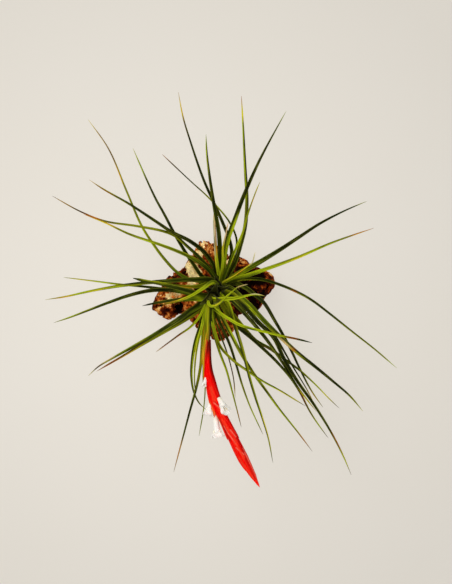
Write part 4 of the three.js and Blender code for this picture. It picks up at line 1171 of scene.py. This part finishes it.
class AIRPLANT_OT_flowers(bpy.types.Operator):
    """Builds the four white flowers with their tubes, turned-back petals and anthers"""

    bl_idname = "air_plant.flowers"
    bl_label = "White flowers"

    def execute(self, context):
        settings = context.scene.air_plant.flower
        finish = petal_finish("petal_skin")
        for index, flower in enumerate(FLOWERS):
            self.build(settings, finish, flower, f"flower_{index + 1}")
        return {"FINISHED"}

    def build(self, settings, finish, flower, node):
        low, high = flower["heights"]
        root, mouth = in_place(flower["root"], low), in_place(flower["mouth"], high)
        axis = (mouth - root).normalized()
        side = UP.cross(axis).normalized()
        face = axis.cross(side).normalized()
        piece = Piece()

        def tube(x, y, z):
            radius = flower["tube"] * (0.6 + 0.4 * x) * 0.96
            tint = mixed(settings.petal_base, settings.petal, step(0.1, 0.7, x))
            return root.lerp(mouth, x) + (side * y + face * z) * radius, tint, (x * 6, y * 2, 0)

        piece.add(unit_rod(10, 20), tube)
        petal = unit_slab(20, 10)
        for index in range(PETAL_COUNT):
            angle = index * 360 / PETAL_COUNT
            turn = math.radians(flower["turn"] + angle)
            outward = side * math.cos(turn) + face * math.sin(turn)
            piece.add(petal, self.petal_shape(settings, flower, mouth, axis, outward, angle))
        rod = unit_rod(6, 6)
        for index in range(STAMEN_COUNT):
            turn = math.radians(index * 360 / STAMEN_COUNT + flower["turn"])
            lean = (side * math.cos(turn) + face * math.sin(turn)) * flower["tube"] * 0.5

            def stamen(x, y, z):
                point = mouth + lean * (0.6 + x * 0.6) + axis * lerp(-1, flower["petal"] * 0.42, x)
                radius = 0.1 if x < 0.7 else 0.2
                tint = settings.petal if x < 0.7 else settings.anther
                return point + (side * y + face * z) * radius, tint, (x * 3, y, index)

            piece.add(rod, stamen)
        piece.finish(f"{node}_petals", finish, "petal", node)

    def petal_shape(self, settings, flower, mouth, axis, outward, angle):
        across = axis.cross(outward).normalized()
        length, openness = flower["petal"], flower["open"]

        def line(share):
            along = lerp(-0.4, 1, share)
            reach = max(along, 0)
            out = flower["tube"] * 0.5 + length * openness * reach ** 1.4
            return mouth + outward * out + axis * (length * (along - openness * 0.6 * reach ** 2.2))

        def shape(x, y, z):
            ahead = (line(min(x + 0.02, 1)) - line(max(x - 0.02, 0))).normalized()
            face = ahead.cross(across).normalized()
            half = flower["width"] * reading(PETAL_WIDTHS, lerp(-0.4, 1, x))
            frill = 0.22 * step(0.4, 1, x) * math.sin(y * 7 + angle) * abs(y)
            cup = -0.35 * half * y * y * (1 - step(0.5, 1, x))
            over = frill + cup + z * settings.petal_thickness / MM / 2 * (1 - 0.7 * y * y)
            tint = mixed(settings.petal_base, settings.petal, step(0.1, 0.45, x))
            return line(x) + across * (half * y) + face * over, tint, (x * length, y * half, angle)

        return shape


class AIRPLANT_OT_stage(bpy.types.Operator):
    """Sets the pale floor, the soft lights and the camera straight above"""

    bl_idname = "air_plant.stage"
    bl_label = "Stage"

    def execute(self, context):
        settings = context.scene.air_plant.stage
        scene = context.scene
        scene.view_settings.view_transform = "Standard"
        bm = bmesh.new()
        bmesh.ops.create_grid(bm, x_segments=8, y_segments=8, size=FLOOR_HALF)
        mesh = bpy.data.meshes.new("floor")
        bm.to_mesh(mesh)
        bm.free()
        mesh.materials.append(floor_finish("floor_matt", settings))
        floor = bpy.data.objects.new("floor", mesh)
        scene.collection.objects.link(floor)
        self.add_light("window_light", "AREA", (-0.9, 0.8, 1.5), LIGHT_AIM, 15, (1, 0.985, 0.95),
                       shape="DISK", size=1.4)
        # The lamp overhead fades towards the edges of the picture
        self.add_light("top_light", "SPOT", (-0.12, 0.06, 1.1), LAMP_AIM, 9, (1, 0.985, 0.96),
                       spot_size=math.radians(32), spot_blend=1, shadow_soft_size=0.3)
        self.add_light("fill_light", "AREA", (0.9, -0.5, 1.2), LIGHT_AIM, 3.5, (0.97, 0.985, 1),
                       shape="DISK", size=1.6)
        world = bpy.data.worlds.new("soft_room")
        world.use_nodes = True
        world.node_tree.nodes["Background"].inputs["Color"].default_value = (1, 0.985, 0.955, 1)
        world.node_tree.nodes["Background"].inputs["Strength"].default_value = 0.5
        scene.world = world
        data = bpy.data.cameras.new("camera")
        data.lens = settings.lens
        data.sensor_width = SENSOR_WIDTH
        data.clip_start, data.clip_end = 0.01, 20
        camera = bpy.data.objects.new("camera", data)
        camera.location = (0, 0, settings.camera_height)
        scene.collection.objects.link(camera)
        scene.camera = camera
        return {"FINISHED"}

    def add_light(self, name, kind, place, aim, power, colour, **form):
        """Adds a light that points from its place to its aim; form holds the settings of its kind."""
        data = bpy.data.lights.new(name, kind)
        for field, value in form.items():
            setattr(data, field, value)
        data.energy = power
        data.color = colour
        light = bpy.data.objects.new(name, data)
        light.location = place
        light.rotation_euler = (Vector(aim) - Vector(place)).to_track_quat("-Z", "Y").to_euler()
        bpy.context.scene.collection.objects.link(light)


class AIRPLANT_PT_panel(bpy.types.Panel):
    bl_idname = "AIRPLANT_PT_panel"
    bl_label = "Air plant"
    bl_space_type = "VIEW_3D"
    bl_region_type = "UI"
    bl_category = "Air plant"

    def draw(self, context):
        column = self.layout.column()
        for operator in OPERATORS:
            column.operator(operator.bl_idname)
        settings = context.scene.air_plant
        for group in (settings.leaf, settings.bark, settings.flower, settings.stage):
            box = self.layout.box()
            for name in group.__annotations__:
                box.prop(group, name)


OPERATORS = (
    AIRPLANT_OT_stage, AIRPLANT_OT_bark, AIRPLANT_OT_stem, AIRPLANT_OT_leaves, AIRPLANT_OT_spike,
    AIRPLANT_OT_flowers,
)
CLASSES = (
    AirPlantLeafSettings, AirPlantBarkSettings, AirPlantFlowerSettings, AirPlantStageSettings,
    AirPlantSettings, *OPERATORS, AIRPLANT_PT_panel,
)


def register():
    for item in CLASSES:
        bpy.utils.register_class(item)
    bpy.types.Scene.air_plant = bpy.props.PointerProperty(type=AirPlantSettings)


def unregister():
    del bpy.types.Scene.air_plant
    for item in reversed(CLASSES):
        bpy.utils.unregister_class(item)


def main():
    register()
    for operator in OPERATORS:
        category, name = operator.bl_idname.split(".")
        getattr(getattr(bpy.ops, category), name)()


if __name__ == "__main__":
    main()
